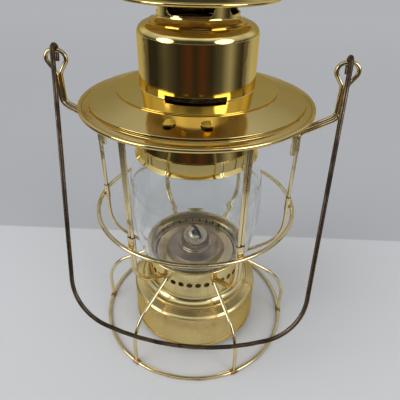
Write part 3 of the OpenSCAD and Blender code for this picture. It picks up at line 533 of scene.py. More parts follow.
# %% Lay the feet
FOOT_D, FOOT_BEND_R, FOOT_BEND_Z, BASE_RING_R = 2.6, 30.0, 20.0, 72.4
HOLE_Z, HOLE_INSET, FOOT_TUCK = 58.0, 0.4, 2.0
FOOT_AZ = range(30, 360, 60)
foot_peg = Vector((BASE_RING_R - FOOT_BEND_R, FOOT_BEND_Z))
foot_hole = Vector((COLLAR_R - HOLE_INSET, HOLE_Z))
span = foot_hole - foot_peg
foot_turn = math.atan2(span.y, span.x) - math.acos(FOOT_BEND_R / span.length)
touch = foot_peg + FOOT_BEND_R * Vector((math.cos(foot_turn), math.sin(foot_turn)))
slope = (touch - foot_hole).normalized()
foot_start = (foot_hole - FOOT_TUCK * slope) * MM
foot_arc = (foot_peg, FOOT_BEND_R, math.degrees(foot_turn), 0)
foot_moves = arcs_to_moves([foot_arc], (BASE_RING_R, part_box("foot_1")[0].z / MM))
for number, az in enumerate(FOOT_AZ, 1):
    bm = bmesh.new()
    bend_wire(bm, FOOT_D * MM, (foot_start.x, 0, foot_start.y), (slope.x, 0, slope.y), foot_moves)
    soften_ends(bm)
    turn_about_axis(bm, bm.verts, az)
    finish_piece(bm, f"curved_foot_{number}", wire_brass, [f"foot_{number}"])

# %% [markdown]
# ### Ears
#
# At each side one wire is upright, ear and eye in one: it turns out under the brim, rises, opens into a
# pear-shaped eye, and comes back beside itself to a loose end that a sleeve binds to the upright. The way
# back could be a second wire, but the real one is a single piece, so nine arcs follow each other here.

# %% Lay the ear wires
EAR_X, EAR_D, EAR_PITCH = 86.0, 2.6, 2.68
EAR_AZ = {"right": 90, "left": 270}
HINGE_Z, EYE_FLAT, EYE_CORNER_R, EYE_DRAW, EYE_ROOT_R = 208.8, 3.0, 4.7, 35.0, 6.0
EAR_TURN_Z, EAR_TURN_R, EAR_SWEEP, EAR_TAIL = 161.0, 5.0, 62.0, 12.0
ear_wide_r = EAR_TURN_R + EAR_PITCH
sweep = math.radians(EAR_SWEEP)
low_peg = Vector((UPRIGHT_R + EAR_TURN_R, EAR_TURN_Z))
low_end = low_peg + EAR_TURN_R * Vector((-math.cos(sweep), math.sin(sweep)))
high_x = EAR_X + EAR_PITCH / 2 - ear_wide_r
high_start_x = high_x + ear_wide_r * math.cos(sweep)
high_start_z = low_end.y + (high_start_x - low_end.x) / math.tan(sweep)
high_peg = Vector((high_x, high_start_z + ear_wide_r * math.sin(sweep)))
draw = math.radians(EYE_DRAW)
eye_peg = Vector((EYE_FLAT / 2, HINGE_Z - EYE_CORNER_R))
eye_side = eye_peg + EYE_CORNER_R * Vector((math.cos(draw), -math.sin(draw)))
eye_root_x = EAR_PITCH / 2 + EYE_ROOT_R * (1 - math.cos(draw))
eye_foot_z = eye_side.y - (eye_side.x - eye_root_x) / math.tan(draw) - EYE_ROOT_R * math.sin(draw)
ear_arcs = [
    upright_arc,
    (low_peg, EAR_TURN_R, 180, 180 - EAR_SWEEP),
    (high_peg, ear_wide_r, -EAR_SWEEP, 0),
    ((EAR_X + EAR_PITCH / 2 + EYE_ROOT_R, eye_foot_z), EYE_ROOT_R, 180, 180 - EYE_DRAW),
    ((EAR_X + eye_peg.x, eye_peg.y), EYE_CORNER_R, -EYE_DRAW, 90),
    ((EAR_X - eye_peg.x, eye_peg.y), EYE_CORNER_R, 90, 180 + EYE_DRAW),
    ((EAR_X - EAR_PITCH / 2 - EYE_ROOT_R, eye_foot_z), EYE_ROOT_R, EYE_DRAW, 0),
    (high_peg, EAR_TURN_R, 0, -EAR_SWEEP),
    (low_peg, ear_wide_r, 180 - EAR_SWEEP, 180),
]
ear_moves = arcs_to_moves(ear_arcs, (UPRIGHT_R - EAR_PITCH, EAR_TURN_Z - EAR_TAIL))
for side, az in EAR_AZ.items():
    bm = bmesh.new()
    bend_wire(bm, EAR_D * MM, wire_root(EAR_D), root_heading, ear_moves)
    soften_ends(bm)
    turn_about_axis(bm, bm.verts, az)
    finish_piece(bm, f"ear_and_eye_{side}", wire_brass, [f"ear_wire_{side}"])

# %% [markdown]
# ### The bail
#
# The bail is one dark wire. A hook at each end goes over the top of an eye from the front, the arms draw
# in a little, and two corners and a shallow curve close the bottom. It could be bent where it rests, but
# its arcs are simpler in an upright plane. So it is bent hanging straight down and then leaned forward to
# the front feet.

# %% Lay the bail
BAIL_D, BAIL_LEN, BAIL_TAPER, BAIL_ROUND = 2.9, 192.0, 2.5, 0.35
KINK_R, CORNER_R, BOTTOM_R, HOOK_TAIL, HOOK_PLAY = 40.0, 38.0, 150.0, 6.0, 0.15
hang = next(m for m in frame["record"]["mounts"] if m["name"] == "bail_hang")
bail_lean = math.atan2(-hang["axis"][1], -hang["axis"][2])
hook_r = EAR_D / 2 + HOOK_PLAY + BAIL_D / 2
taper = math.radians(BAIL_TAPER)
bail_rise = BAIL_LEN - BOTTOM_R
bail_side = EAR_X - KINK_R * (1 - math.cos(taper)) - CORNER_R * math.cos(taper)
bail_fall = bail_rise + (CORNER_R - KINK_R) * math.sin(taper)
bail_reach = (bail_side - bail_fall * math.tan(taper)) * math.cos(taper)
bail_sweep = math.asin(bail_reach / (BOTTOM_R - CORNER_R)) - taper
corner_x = (BOTTOM_R - CORNER_R) * math.sin(bail_sweep)
corner_z = -bail_rise - (BOTTOM_R - CORNER_R) * math.cos(bail_sweep)
swing = math.degrees(bail_sweep)
bail_arcs = [
    ((EAR_X - KINK_R, 0), KINK_R, 0, -BAIL_TAPER),
    ((corner_x, corner_z), CORNER_R, -BAIL_TAPER, swing - 90),
    ((0, -bail_rise), BOTTOM_R, swing - 90, -swing - 90),
    ((-corner_x, corner_z), CORNER_R, -swing - 90, BAIL_TAPER - 180),
    ((KINK_R - EAR_X, 0), KINK_R, BAIL_TAPER - 180, -180),
]
ahead = Vector((0, -hook_r, 0)) * MM
bail_moves = [
    ("run", Vector((EAR_X, hook_r, 0)) * MM),
    ("turn", Vector((EAR_X, 0, 0)) * MM, (1, 0, 0), math.pi),
]
bail_moves += [(kind, place + ahead, *rest) for kind, place, *rest in arcs_to_moves(bail_arcs)]
bail_moves += [
    ("turn", Vector((-EAR_X, 0, 0)) * MM, (1, 0, 0), -math.pi),
    ("run", Vector((-EAR_X, hook_r, -HOOK_TAIL)) * MM),
]
bm = bmesh.new()
bend_wire(bm, BAIL_D * MM, Vector((EAR_X, hook_r, -HOOK_TAIL)) * MM, (0, 0, 1), bail_moves)
soften_ends(bm, BAIL_ROUND)
bmesh.ops.rotate(bm, verts=bm.verts, cent=(0, 0, 0), matrix=Matrix.Rotation(-bail_lean, 3, "X"))
bmesh.ops.translate(bm, verts=bm.verts, vec=(0, 0, HINGE_Z * MM))
print("the bail leans forward by", round(math.degrees(bail_lean), 1), "degrees")
finish_piece(bm, "swinging_bail", bail_brown, ["bail"])

# %% [markdown]
# ### Rings
#
# The two rings are plain circles of wire: a small circle spun once round the axis. A ready-made torus
# would do for one of them, but the base ring has worn flat underneath, so a plane cuts it and a bridge
# closes the cut. The same spin will make the rolled edges of the sheets.

# %% Spin the rings
RING_D, RING_SIDES, RING_STEPS, MID_RING_Z, WORN_FLAT = 2.8, 28, 200, 108.4, 0.3


def whole(bm):
    """All that a bmesh holds."""
    return bm.verts[:] + bm.edges[:] + bm.faces[:]


def spin_round(bm, geom, steps):
    """Spins something once round the axis."""
    bmesh.ops.spin(
        bm, geom=geom, cent=(0, 0, 0), axis=(0, 0, 1), angle=2 * math.pi, steps=steps, use_merge=True
    )


def add_roll(bm, r, z, d, sides=24, steps=240):
    """Adds a ring of wire, as a guard ring or as the rolled edge of a sheet."""
    upright = Matrix.Translation(Vector((r, 0, z)) * MM) @ Matrix.Rotation(math.pi / 2, 4, "X")
    made = bmesh.ops.create_circle(bm, segments=sides, radius=d / 2 * MM, matrix=upright)
    spin_round(bm, edges_of(made["verts"]), steps)


def wire_ring(name, z, node, flat=False):
    """A guard ring as wide as its solid, cut flat at the table where asked."""
    bm = bmesh.new()
    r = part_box(node)[1].y / MM - RING_D / 2
    add_roll(bm, r, z, RING_D, RING_SIDES, RING_STEPS)
    if flat:
        cut = bmesh.ops.bisect_plane(bm, geom=whole(bm), plane_no=(0, 0, -1), clear_outer=True)
        bmesh.ops.bridge_loops(bm, edges=only(EDGE, cut["geom_cut"]))
    bmesh.ops.recalc_face_normals(bm, faces=bm.faces)
    finish_piece(bm, name, wire_brass, [node])


wire_ring("standing_ring", RING_D / 2 - WORN_FLAT, "base_ring", flat=True)
wire_ring("middle_ring", MID_RING_Z, "mid_ring")

# %% [markdown]
# ### Sleeves
#
# Short tubes are pushed over the uprights and soldered to the middle ring, and two more bind the loose
# ends of the ear wires. Over a pair of strands a tube is flattened. Stretching a circle would make an
# ellipse, so its two halves are moved apart instead, which leaves straight sides between round ends. The
# flat ends of the tubes on the middle ring are darker: they take the second finish.

# %% Push on the sleeves
SLEEVE_SIDES, SLEEVE_LEN, SLEEVE_WALL, SLEEVE_ROUND = 28, 11.0, 0.55, 0.3
EAR_SLEEVE_LEN, EAR_SLEEVE_WALL, EAR_SLEEVE_ROUND = 5.0, 0.2, 0.15


def second_finish(bm, chosen):
    """Gives the chosen faces the first of a piece's linings."""
    for face in bm.faces:
        if chosen(face):
            face.material_index = 1


def sleeve(bm, az, r, z, length, d, apart, turn=0.0, wall=SLEEVE_WALL):
    """A flattened tube round one strand, or two that lie apart from each other."""
    half_step = Matrix.Rotation(math.pi / SLEEVE_SIDES, 4, "Z")
    verts = bmesh.ops.create_circle(
        bm, cap_ends=True, segments=SLEEVE_SIDES, radius=(d / 2 + wall) * MM, matrix=half_step
    )["verts"]
    for side in (-1, 1):
        half = [v for v in verts if v.co.y * side > 0]
        bmesh.ops.translate(bm, verts=half, vec=(0, side * apart / 2 * MM, 0))
    bmesh.ops.rotate(bm, verts=verts, cent=(0, 0, 0), matrix=Matrix.Rotation(turn, 3, "Z"))
    bmesh.ops.translate(bm, verts=verts, vec=Vector((r, 0, z)) * MM)
    foot = list({f for v in verts for f in v.link_faces})
    lifted = only(VERT, bmesh.ops.extrude_face_region(bm, geom=foot)["geom"])
    bmesh.ops.translate(bm, verts=lifted, vec=(0, 0, length * MM))
    turn_about_axis(bm, verts + lifted, az)


sleeve_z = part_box("ring_sleeves")[0].z / MM
bm = bmesh.new()
for az in UPRIGHT_AZ:
    sleeve(bm, az, UPRIGHT_R, sleeve_z, SLEEVE_LEN, STRAND_D, STRAND_PITCH)
for az in EAR_AZ.values():
    sleeve(bm, az, UPRIGHT_R, sleeve_z, SLEEVE_LEN, EAR_D, 0.0)
soften_ends(bm, SLEEVE_ROUND)
second_finish(bm, lambda face: abs(face.normal.z) > 0.5)
finish_piece(bm, "ring_sleeve_tubes", wire_brass, ["ring_sleeves"], linings=[soot_and_painted_shade])
ear_sleeve_r, ear_sleeve_z = UPRIGHT_R - EAR_PITCH / 2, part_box("ear_sleeves")[0].z / MM
bm = bmesh.new()
for az in EAR_AZ.values():
    sleeve(
        bm, az, ear_sleeve_r, ear_sleeve_z, EAR_SLEEVE_LEN, EAR_D, EAR_PITCH, math.pi / 2, EAR_SLEEVE_WALL
    )
soften_ends(bm, EAR_SLEEVE_ROUND)
finish_piece(bm, "ear_sleeve_tubes", wire_brass, ["ear_sleeves"])

# %% [markdown]
# ## Spinning sheet
#
# The brim, the crown, the collars and the fount are sheet brass, pressed over a turning form. A lathe
# could turn them from a solid outline, inside and outside at once. Here a path from edge to edge is spun
# round the axis as a skin, windows and slots are taken out of it while it is still thin, and only then
# does it get its thickness, so that the edges of each opening have real walls.

# %% A sheet spinner
SPIN_STEPS, ARC_STEP, SEAM = 180, 6.0, 1e-6


def curve(c, r, first, last, step=ARC_STEP):
    """Points of an arc, ends included, in millimetres."""
    n = max(2, math.ceil(abs(last - first) / step))
    angles = [math.radians(first + (last - first) * i / n) for i in range(n + 1)]
    return [(c[0] + r * math.cos(a), c[1] + r * math.sin(a)) for a in angles]


def spin_path(path, steps=SPIN_STEPS, start=0.0):
    """A thin skin: a path of (radius, height) points spun round the axis from an azimuth."""
    bm = bmesh.new()
    a = math.radians(start)
    verts = [bm.verts.new(Vector((r * math.sin(a), -r * math.cos(a), z)) * MM) for r, z in path]
    edges = [bm.edges.new(pair) for pair in zip(verts, verts[1:])]
    spin_round(bm, verts + edges, steps)
    bmesh.ops.remove_doubles(bm, verts=bm.verts, dist=SEAM)
    bmesh.ops.recalc_face_normals(bm, faces=bm.faces)
    return bm


def spin_outline(path):
    """A closed body: an outline that starts and ends on the axis or meets itself."""
    on_axis = path[0][0] == 0 and path[-1][0] == 0
    return spin_path(path if on_axis else path + path[:1])


def thicken(bm, t):
    """Gives a skin a wall on the side away from its normals."""
    bmesh.ops.solidify(bm, geom=bm.faces[:], thickness=t * MM)
    bmesh.ops.recalc_face_normals(bm, faces=bm.faces)


def break_edges(bm, width, angle=50.0):
    """Takes the sharpness off hard edges."""
    round_off(bm, hard_edges(bm, angle), width, segments=2)


print("a skin is spun in", SPIN_STEPS, "steps, and an arc in its path in steps of", ARC_STEP, "degrees")

# %% [markdown]
# Openings could be cut with a boolean, which tends to leave slivers on thin curved sheet. It is cleaner
# to let the skin's own faces end where the opening ends, and to take those faces out. Smoke has blackened
# the inside of the sheets, so the faces that look in at the axis, or down, get a piece's second finish.
# Inside the neck collar that dark finish is painted shade, which makes the air holes look black.

# %% Openings and linings


def azimuth(p):
    """The bearing of a point in degrees, from the front towards the right."""
    return math.degrees(math.atan2(p.x, -p.y))


def off_from(az, middle, period=360):
    """Signed angle from a middle azimuth, or from the nearest of those that repeat it."""
    return (az - middle + period / 2) % period - period / 2


def take_out(bm, chosen):
    """Deletes the faces whose middle is chosen."""
    gone = [f for f in bm.faces if chosen(f.calc_center_median())]
    bmesh.ops.delete(bm, geom=gone, context="FACES")
    return len(gone)


def slit(bm, across, low, high, chosen):
    """Cuts a skin along both sides of a strip, and takes out the strip's chosen faces."""
    for side in (low, high):
        bmesh.ops.bisect_plane(bm, geom=whole(bm), plane_co=across * side * MM, plane_no=across)
    return take_out(bm, lambda p: low < p.dot(across) / MM < high and chosen(p))


def line_inside(bm, below=math.inf):
    """Gives the faces that look in at the axis, or down, a second finish, up to a height."""

    def hidden(face):
        middle = face.calc_center_median()
        inwards = -face.normal.dot(Vector((middle.x, middle.y, 0)).normalized())
        return max(inwards, -face.normal.z) > 0.5 and middle.z / MM < below

    second_finish(bm, hidden)


print("azimuth of a point at the right:", azimuth(Vector((1, 0, 0))))

# %% [markdown]
# ### The brim
#
# The brim is the widest sheet. Its edge is rolled over a wire. Inside the roll runs a narrow ledge, a
# short wall climbs from the ledge to a step, and from there the face rises to a flat seat round the
# opening. These bends could be left as corners, but a bevel along each of them gives the polished metal
# the thin bright lines that a pressed edge has.

# %% Spin the brim
SHEET, WIDE_STEPS = 0.9, 240
BRIM_ROLL_D, BRIM_STEP_IN, BRIM_STEP_H = 2.8, 6.2, 3.7
LEDGE_IN, LEDGE_DROP, STEP_LEAN = 2.5, 2.3, 0.2
OPENING_R, SEAT_R, BRIM_ROUND, BRIM_BENDS = 46.8, 49.4, 0.3, 3.0
brim_low, brim_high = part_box("brim")
brim_r, seat_z = brim_high.x / MM, brim_high.z / MM
brim_z = brim_low.z / MM + BRIM_ROLL_D / 2
step_r, step_z = brim_r - BRIM_STEP_IN, brim_z + BRIM_STEP_H
brim_path = [
    (brim_r - LEDGE_IN, brim_z + BRIM_ROLL_D / 4),
    (step_r + STEP_LEAN, step_z - LEDGE_DROP),
    (step_r, step_z),
    (SEAT_R, seat_z),
    (OPENING_R, seat_z),
]
brim = spin_path(brim_path, WIDE_STEPS)
thicken(brim, SHEET)
break_edges(brim, BRIM_ROUND, BRIM_BENDS)
add_roll(brim, brim_r - BRIM_ROLL_D / 2, brim_z, BRIM_ROLL_D)
bmesh.ops.recalc_face_normals(brim, faces=brim.faces)
finish_piece(brim, "rolled_brim", brim_sheet, ["brim"])

# %% [markdown]
# ### The latch lugs
#
# Two lugs stand out of the front of the brim, where a latch under the sheet is fastened. Plain domes
# would read as rivets. Each lug is a round disc with one side cut straight, raised at its outer edge. Its
# walls take the dark second finish, which is painted shade round the raised disc.

# %% Press the lugs
LUG_R, LUG_CUT, LUG_H, LUG_CROWN, LUG_TILT = 3.6, 2.2, 0.9, 1.15, math.radians(11)
LUG_SIDES, LUG_RIM, LUG_SUNK = 32, 0.35, 0.1
LATCH_R, LATCH_AZ, LATCH_HALF = 55.7, 1.5, 10.1
face_slope = math.atan2(seat_z - step_z, step_r - SEAT_R)
latch_z = step_z + (step_r - LATCH_R) * math.tan(face_slope)
lug_place = Matrix.Translation(Vector((LATCH_R, 0, latch_z - LUG_SUNK)) * MM)
lug_place = lug_place @ Matrix.Rotation(face_slope - LUG_TILT, 4, "Y")
lugs = bmesh.new()
for side in (-1, 1):
    lug = bmesh.new()
    bmesh.ops.create_circle(lug, cap_ends=True, segments=LUG_SIDES, radius=LUG_R * MM)
    bmesh.ops.bisect_plane(
        lug, geom=whole(lug), plane_co=(0, side * LUG_CUT * MM, 0), plane_no=(0, side, 0), clear_outer=True
    )
    up = bmesh.ops.extrude_face_region(lug, geom=lug.faces[:])["geom"]
    bmesh.ops.translate(lug, verts=only(VERT, up), vec=(0, 0, LUG_H * MM))
    crown_rise = (LUG_CROWN - LUG_H) * MM
    bmesh.ops.inset_region(lug, faces=only(FACE, up), thickness=LUG_RIM * MM, depth=crown_rise)
    bmesh.ops.recalc_face_normals(lug, faces=lug.faces)
    # Painted shade: the lug's walls take the dark second finish.
    second_finish(lug, lambda face: abs(face.normal.z) < 0.3)
    bmesh.ops.transform(lug, verts=lug.verts, matrix=lug_place)
    turn_about_axis(lug, lug.verts, LATCH_AZ + side * LATCH_HALF)
    merge_in(lugs, lug)
finish_piece(lugs, "latch_lugs", bright_sheet, ["latch_rivets"], linings=[soot_and_painted_shade])

# %% [markdown]
# ### Punching and rolling
#
# A band with a row of openings is punched while the strip is still flat and then rolled up. Cutting the
# rolled band would bend each opening's edge, so the model follows the real way. One flat cell is enough:
# an inset face is sized to the opening, a bevel of its corner vertices rounds it, up to a full circle,
# and the face is taken out. Thin slices let the cell bend, rolling wraps it round the axis, and copies of
# it close the band.

# %% A punch and a roller
CORNER_SEGMENTS, AT_MIDDLE, RIM_MATCH = 5, 0.05, 0.01


def punched_cell(width, low, high, opening, corner, slices):
    """A flat cell, in millimetres, with an opening (width, height, middle) that has round corners."""
    bm = bmesh.new()
    bmesh.ops.create_grid(bm, x_segments=1, y_segments=1, size=0.5)
    bmesh.ops.scale(bm, verts=bm.verts, vec=(width, high - low, 1))
    bmesh.ops.translate(bm, verts=bm.verts, vec=(0, (low + high) / 2, 0))
    hole = next(iter(bm.faces))
    bmesh.ops.inset_individual(bm, faces=[hole], thickness=width / 10)
    corners = hole.verts[:]
    middle = hole.calc_center_median()
    size = [max(v.co[k] for v in corners) - min(v.co[k] for v in corners) for k in (0, 1)]
    bmesh.ops.translate(bm, verts=corners, vec=-middle)
    bmesh.ops.scale(bm, verts=corners, vec=(opening[0] / size[0], opening[1] / size[1], 1))
    bmesh.ops.translate(bm, verts=corners, vec=(0, opening[2], 0))
    bmesh.ops.bevel(
        bm, geom=corners, offset=corner, segments=CORNER_SEGMENTS, profile=0.5, affect="VERTICES",
        material=-1,
    )
    take_out(bm, lambda p: (p - Vector((0, opening[2], 0))).length < AT_MIDDLE)
    for i in range(1, slices):
        slice_x = width * (i / slices - 0.5)
        bmesh.ops.bisect_plane(bm, geom=whole(bm), plane_co=(slice_x, 0, 0), plane_no=(1, 0, 0))
    return bm


def roll_up(bm, r, first_az, count):
    """Wraps a flat cell round the axis and repeats it until the band is closed."""
    for v in bm.verts:
        turn = v.co.x / r + math.radians(first_az)
        v.co = Vector((r * math.sin(turn), -r * math.cos(turn), v.co.y)) * MM
    step = 2 * math.pi / count
    bmesh.ops.spin(
        bm, geom=bm.faces[:], cent=(0, 0, 0), axis=(0, 0, 1), angle=2 * math.pi - step, steps=count - 1,
        use_duplicate=True,
    )


def close_skin(bm, *others):
    """Joins skins that share a rim into one."""
    for other in others:
        merge_in(bm, other)
    bmesh.ops.remove_doubles(bm, verts=bm.verts, dist=RIM_MATCH * MM)
    bmesh.ops.recalc_face_normals(bm, faces=bm.faces)


print("rims that lie within", RIM_MATCH, "mm of each other are joined")

# %% [markdown]
# ### The crown
#
# The lid is three spun pieces. The lowest, the crown, stands on a flange, and a slot is cut round the
# front of its foot. The slot could be a dark stripe in the finish, but from above one looks into it. So
# the spin starts at the slot's end, the faces of the foot are taken out there, and the sheet's thickness
# makes its lips.

# %% Spin the crown
FLANGE_R, CROWN_R, FLANGE_RISE, COVE_R, SHOULDER_R, CROWN_HOLE_R = 48.2, 34.5, 1.1, 0.6, 6.0, 22.1
SLOT_AZ, SLOT_HALF, SLOT_H, CROWN_ROUND = 4.5, 29.0, 1.7, 0.35
crown_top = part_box("crown")[1].z / MM
flange_z = seat_z + SHEET
slot_low = flange_z + FLANGE_RISE + COVE_R
slot_high = slot_low + SLOT_H
cove = (CROWN_R + COVE_R, slot_low)
crown_path = [(FLANGE_R, flange_z)]
crown_path += curve(cove, COVE_R, 265, 180, step=15.0)
crown_path += [(CROWN_R, slot_high)]
crown_path += curve((CROWN_R - SHOULDER_R, crown_top - SHOULDER_R), SHOULDER_R, 0, 90)
crown_path += [(CROWN_HOLE_R, crown_top)]


def in_slot(p):
    at_front = abs(off_from(azimuth(p), SLOT_AZ)) < SLOT_HALF
    return at_front and flange_z < p.z / MM < slot_high and p.xy.length / MM < cove[0]


crown = spin_path(crown_path, start=SLOT_AZ - SLOT_HALF)
print("faces cut for the slot:", take_out(crown, in_slot))
thicken(crown, SHEET)
break_edges(crown, CROWN_ROUND)
line_inside(crown)
finish_piece(crown, "crown_with_slot", bright_sheet, ["crown"], linings=[soot_and_painted_shade])

# %% [markdown]
# ### The vent collar
#
# Smoke leaves through four wide windows in a collar on the crown. Its band is punched and rolled, and its
# foot flares out in a quarter of an ellipse and ends in a thin roll. A perfectly even edge would look
# machined. The real one is a little uneven, so two slow waves lift and lower it.

# %% Spin the vent collar
VENT_R, VENT_FLARE, VENT_FOOT_D, VENT_WAVE, FLARE_STEPS, VENT_ROUND = 23.0, 4.2, 0.9, 0.18, 12, 0.2
WINDOW_SILL, WINDOW_H, WINDOW_ANGLE, WINDOW_CORNER = 5.0, 13.5, 66.0, 3.0
WINDOW_AZ, WINDOWS, WINDOW_SLICES = -6.0, 4, 60
vent_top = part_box("vent_collar")[1].z / MM
flare_z = crown_top + SHEET
flare_h = WINDOW_SILL - 2 * SHEET
quarter = [math.radians(90 * i / FLARE_STEPS) for i in range(FLARE_STEPS + 1)]
flare = [(VENT_R + VENT_FLARE, crown_top)]
flare += [(VENT_R + VENT_FLARE * (1 - math.sin(a)), flare_z + flare_h * (1 - math.cos(a))) for a in quarter]
girth = 2 * math.pi * VENT_R
window = (girth * WINDOW_ANGLE / 360, WINDOW_H, crown_top + WINDOW_SILL + WINDOW_H / 2)
vent = punched_cell(girth / WINDOWS, flare_z + flare_h, vent_top, window, WINDOW_CORNER, WINDOW_SLICES)
roll_up(vent, VENT_R, WINDOW_AZ, WINDOWS)
close_skin(vent, spin_path(flare, WINDOWS * WINDOW_SLICES, start=WINDOW_AZ + 180 / WINDOWS))
thicken(vent, SHEET)
break_edges(vent, VENT_ROUND)
line_inside(vent)
add_roll(vent, VENT_R + VENT_FLARE - VENT_FOOT_D / 2, crown_top + VENT_FOOT_D / 2, VENT_FOOT_D)
for v in vent.verts:
    a = math.radians(azimuth(v.co))
    wave = VENT_WAVE * (math.sin(3 * a) + math.sin(7 * a + 1))
    v.co.z += wave * MM * max(0.0, (v.co.xy.length / MM - VENT_R) / VENT_FLARE)
bmesh.ops.recalc_face_normals(vent, faces=vent.faces)
finish_piece(vent, "vent_collar_with_windows", bright_sheet, ["vent_collar"], linings=[soot_and_painted_shade])

# %% [markdown]
# ### The smoke cap
#
# A shallow dome with a rolled rim keeps rain out of the vents. A flattened ball would be too full at its
# rim, so the dome is the cap of a large sphere. Its radius follows from the cap's width and height. A
# short socket under it slips over the vent collar.

# %% Spin the smoke cap
CAP_R, CAP_ROLL_D, CAP_DOME_H, CAP_LIFT, CAP_SOCKET, CAP_STEP = 44.7, 2.0, 17.0, 12.9, 4.0, 1.5
cap_rim_z = crown_top + CAP_LIFT
cap_edge = CAP_R - CAP_ROLL_D / 2
cap_sphere = (cap_edge**2 + CAP_DOME_H**2) / (2 * CAP_DOME_H)
cap_half = math.degrees(math.asin(cap_edge / cap_sphere))
cap_centre = (0, cap_rim_z + CAP_DOME_H - cap_sphere)
cap = spin_path(curve(cap_centre, cap_sphere, 90 - cap_half, 90, CAP_STEP), WIDE_STEPS)
thicken(cap, SHEET)
line_inside(cap)
add_roll(cap, cap_edge, cap_rim_z, CAP_ROLL_D)
socket_r = VENT_R + SHEET + FIT
socket = spin_path([(socket_r, vent_top - CAP_SOCKET), (socket_r, vent_top)])
thicken(socket, SHEET)
merge_in(cap, socket)
bmesh.ops.recalc_face_normals(cap, faces=cap.faces)
print("the cap's sphere has a radius of", round(cap_sphere, 1), "mm")
finish_piece(cap, "smoke_cap_dome", bright_sheet, ["smoke_cap"], linings=[satin_brass])

# %% [markdown]
# ### The globe holder
#
# Under the brim hangs a tube with a spring band at its foot. Pairs of saw cuts free five tongues in the
# band, which press on the neck of the globe, and a flared lip guides the glass in. Lines in the finish
# could stand for the cuts, but light falls through real ones. With 360 faces round, a cut is one face
# wide.

# %% Spin the holder
LIP_R, LIP_H, BAND_R, BAND_H, TUBE_R, HOLDER_FLANGE_R = 39.9, 2.4, 37.9, 6.2, 36.0, 44.0
WAIST_R, WAIST_H, BAND_FOLD, HOLDER_ROUND = 37.3, 8.5, SHEET / 3, 0.08
TONGUE_AZ, TONGUE_ANGLE, TONGUES, HOLDER_STEPS = -31.5, 23.0, 5, 360
saw_cut = 360 / HOLDER_STEPS
holder_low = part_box("globe_holder")[0].z / MM
band_low = holder_low + LIP_H
band_high = band_low + BAND_H
holder_top = seat_z - SHEET - FIT
holder_path = [
    (LIP_R, holder_low), (BAND_R, band_low), (BAND_R, band_high), (WAIST_R, band_high + BAND_FOLD),
    (TUBE_R, band_high + WAIST_H), (TUBE_R, holder_top), (HOLDER_FLANGE_R, holder_top),
]


def in_saw_cut(p):
    from_tongue = abs(off_from(azimuth(p), TONGUE_AZ, 360 / TONGUES))
    return abs(from_tongue - TONGUE_ANGLE / 2) < saw_cut / 4 and p.z / MM < band_high


holder = spin_path(holder_path, HOLDER_STEPS, start=TONGUE_AZ - TONGUE_ANGLE / 2 - saw_cut / 2)
print("faces cut for ten saw cuts:", take_out(holder, in_saw_cut))
thicken(holder, SHEET)
break_edges(holder, HOLDER_ROUND)
line_inside(holder)
finish_piece(holder, "holder_with_spring_band", bright_sheet, ["globe_holder"], linings=[soot_and_painted_shade])

# %% [markdown]
# ### The globe
#
# The globe is blown: a long, nearly straight belly that closes to a neck at each end. Arcs and lines
# would meet at bends that glass doesn't have. Its outline is therefore the same smooth step at both
# shoulders, quick below, where the collar hides it, and slow above.

# %% Spin the globe
GLOBE_R, GLOBE_CURVE_R, GLOBE_NECK_R = 46.2, 150.0, 34.7
GLOBE_WALL, GLOBE_SLICES, GLASS_ROUND = 2.0, 96, 0.5
FOOT_NECK, FOOT_SHOULDER, TOP_NECK, TOP_SHOULDER = 7.2, 7.0, 4.4, 24.0
globe_low, globe_high = (v.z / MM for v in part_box("globe"))
globe_middle = (globe_low + globe_high) / 2


def ease(t):
    """A smooth step from 0 to 1."""
    u = min(max(t, 0.0), 1.0)
    return u * u * (3 - 2 * u)


def globe_side(z):
    """The globe's radius at a height."""
    belly = GLOBE_R - GLOBE_CURVE_R + math.sqrt(GLOBE_CURVE_R**2 - (z - globe_middle) ** 2)
    below = ease((z - globe_low - FOOT_NECK) / FOOT_SHOULDER)
    above = ease((globe_high - TOP_NECK - z) / TOP_SHOULDER)
    return GLOBE_NECK_R + (belly - GLOBE_NECK_R) * below * above


heights = [globe_low + (globe_high - globe_low) * i / GLOBE_SLICES for i in range(GLOBE_SLICES + 1)]
globe = spin_path([(globe_side(z), z) for z in heights])
thicken(globe, GLOBE_WALL)
break_edges(globe, GLASS_ROUND)
clear_globe = finish_piece(globe, "clear_globe", clear_glass, ["globe"], crease=math.pi)

# %% [markdown]
# ### The neck collar
#
# The collar under the globe lets air into the burner through a row of round holes. Dark discs would pass
# for them from afar, but not from close by. Its band is punched and rolled like the vent collar's, with
# corners so round that each opening is a circle. The hollow foot below and the stepped lip above are spun
# and joined to the band. A notch in the foot lets the wick raiser's spindle through: two cuts mark its
# sides, and the faces between them are taken out.

# %% Spin the neck collar
COLLAR_T, COLLAR_FOOT_R, COLLAR_FOOT_H, COLLAR_STEP_Z, COLLAR_STEP_W = 0.8, 42.6, 12.0, 65.6, 1.2
COLLAR_LIP_Z, COLLAR_LIP_D, FOOT_BEAD_D, COLLAR_COVE, COLLAR_ROUND = 70.8, 1.6, 1.0, 0.4, 0.12
HOLE_D, HOLES, HOLE_SLICES, ROUNDEST = 4.4, 36, 6, 0.49
NOTCH_AZ, NOTCH_SIDE, NOTCH_W, NOTCH_TOP = 215.0, 4.25, 3.2, 51.6
collar_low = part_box("neck_collar")[0].z / MM
collar_band_z = collar_low + COLLAR_FOOT_H
collar_steps, collar_start = HOLES * HOLE_SLICES, 180 / HOLES
foot_bend = COLLAR_FOOT_R - COLLAR_R - COLLAR_COVE
foot_path = curve((COLLAR_FOOT_R, collar_low + foot_bend), foot_bend, 270, 180)
foot_path += [(COLLAR_R, collar_band_z)]
collar_foot = spin_path(foot_path, collar_steps, collar_start)


def outwards(az):
    """The level direction at an azimuth, and the one across it."""
    a = math.radians(az)
    return Vector((math.sin(a), -math.cos(a), 0)), Vector((math.cos(a), math.sin(a), 0))


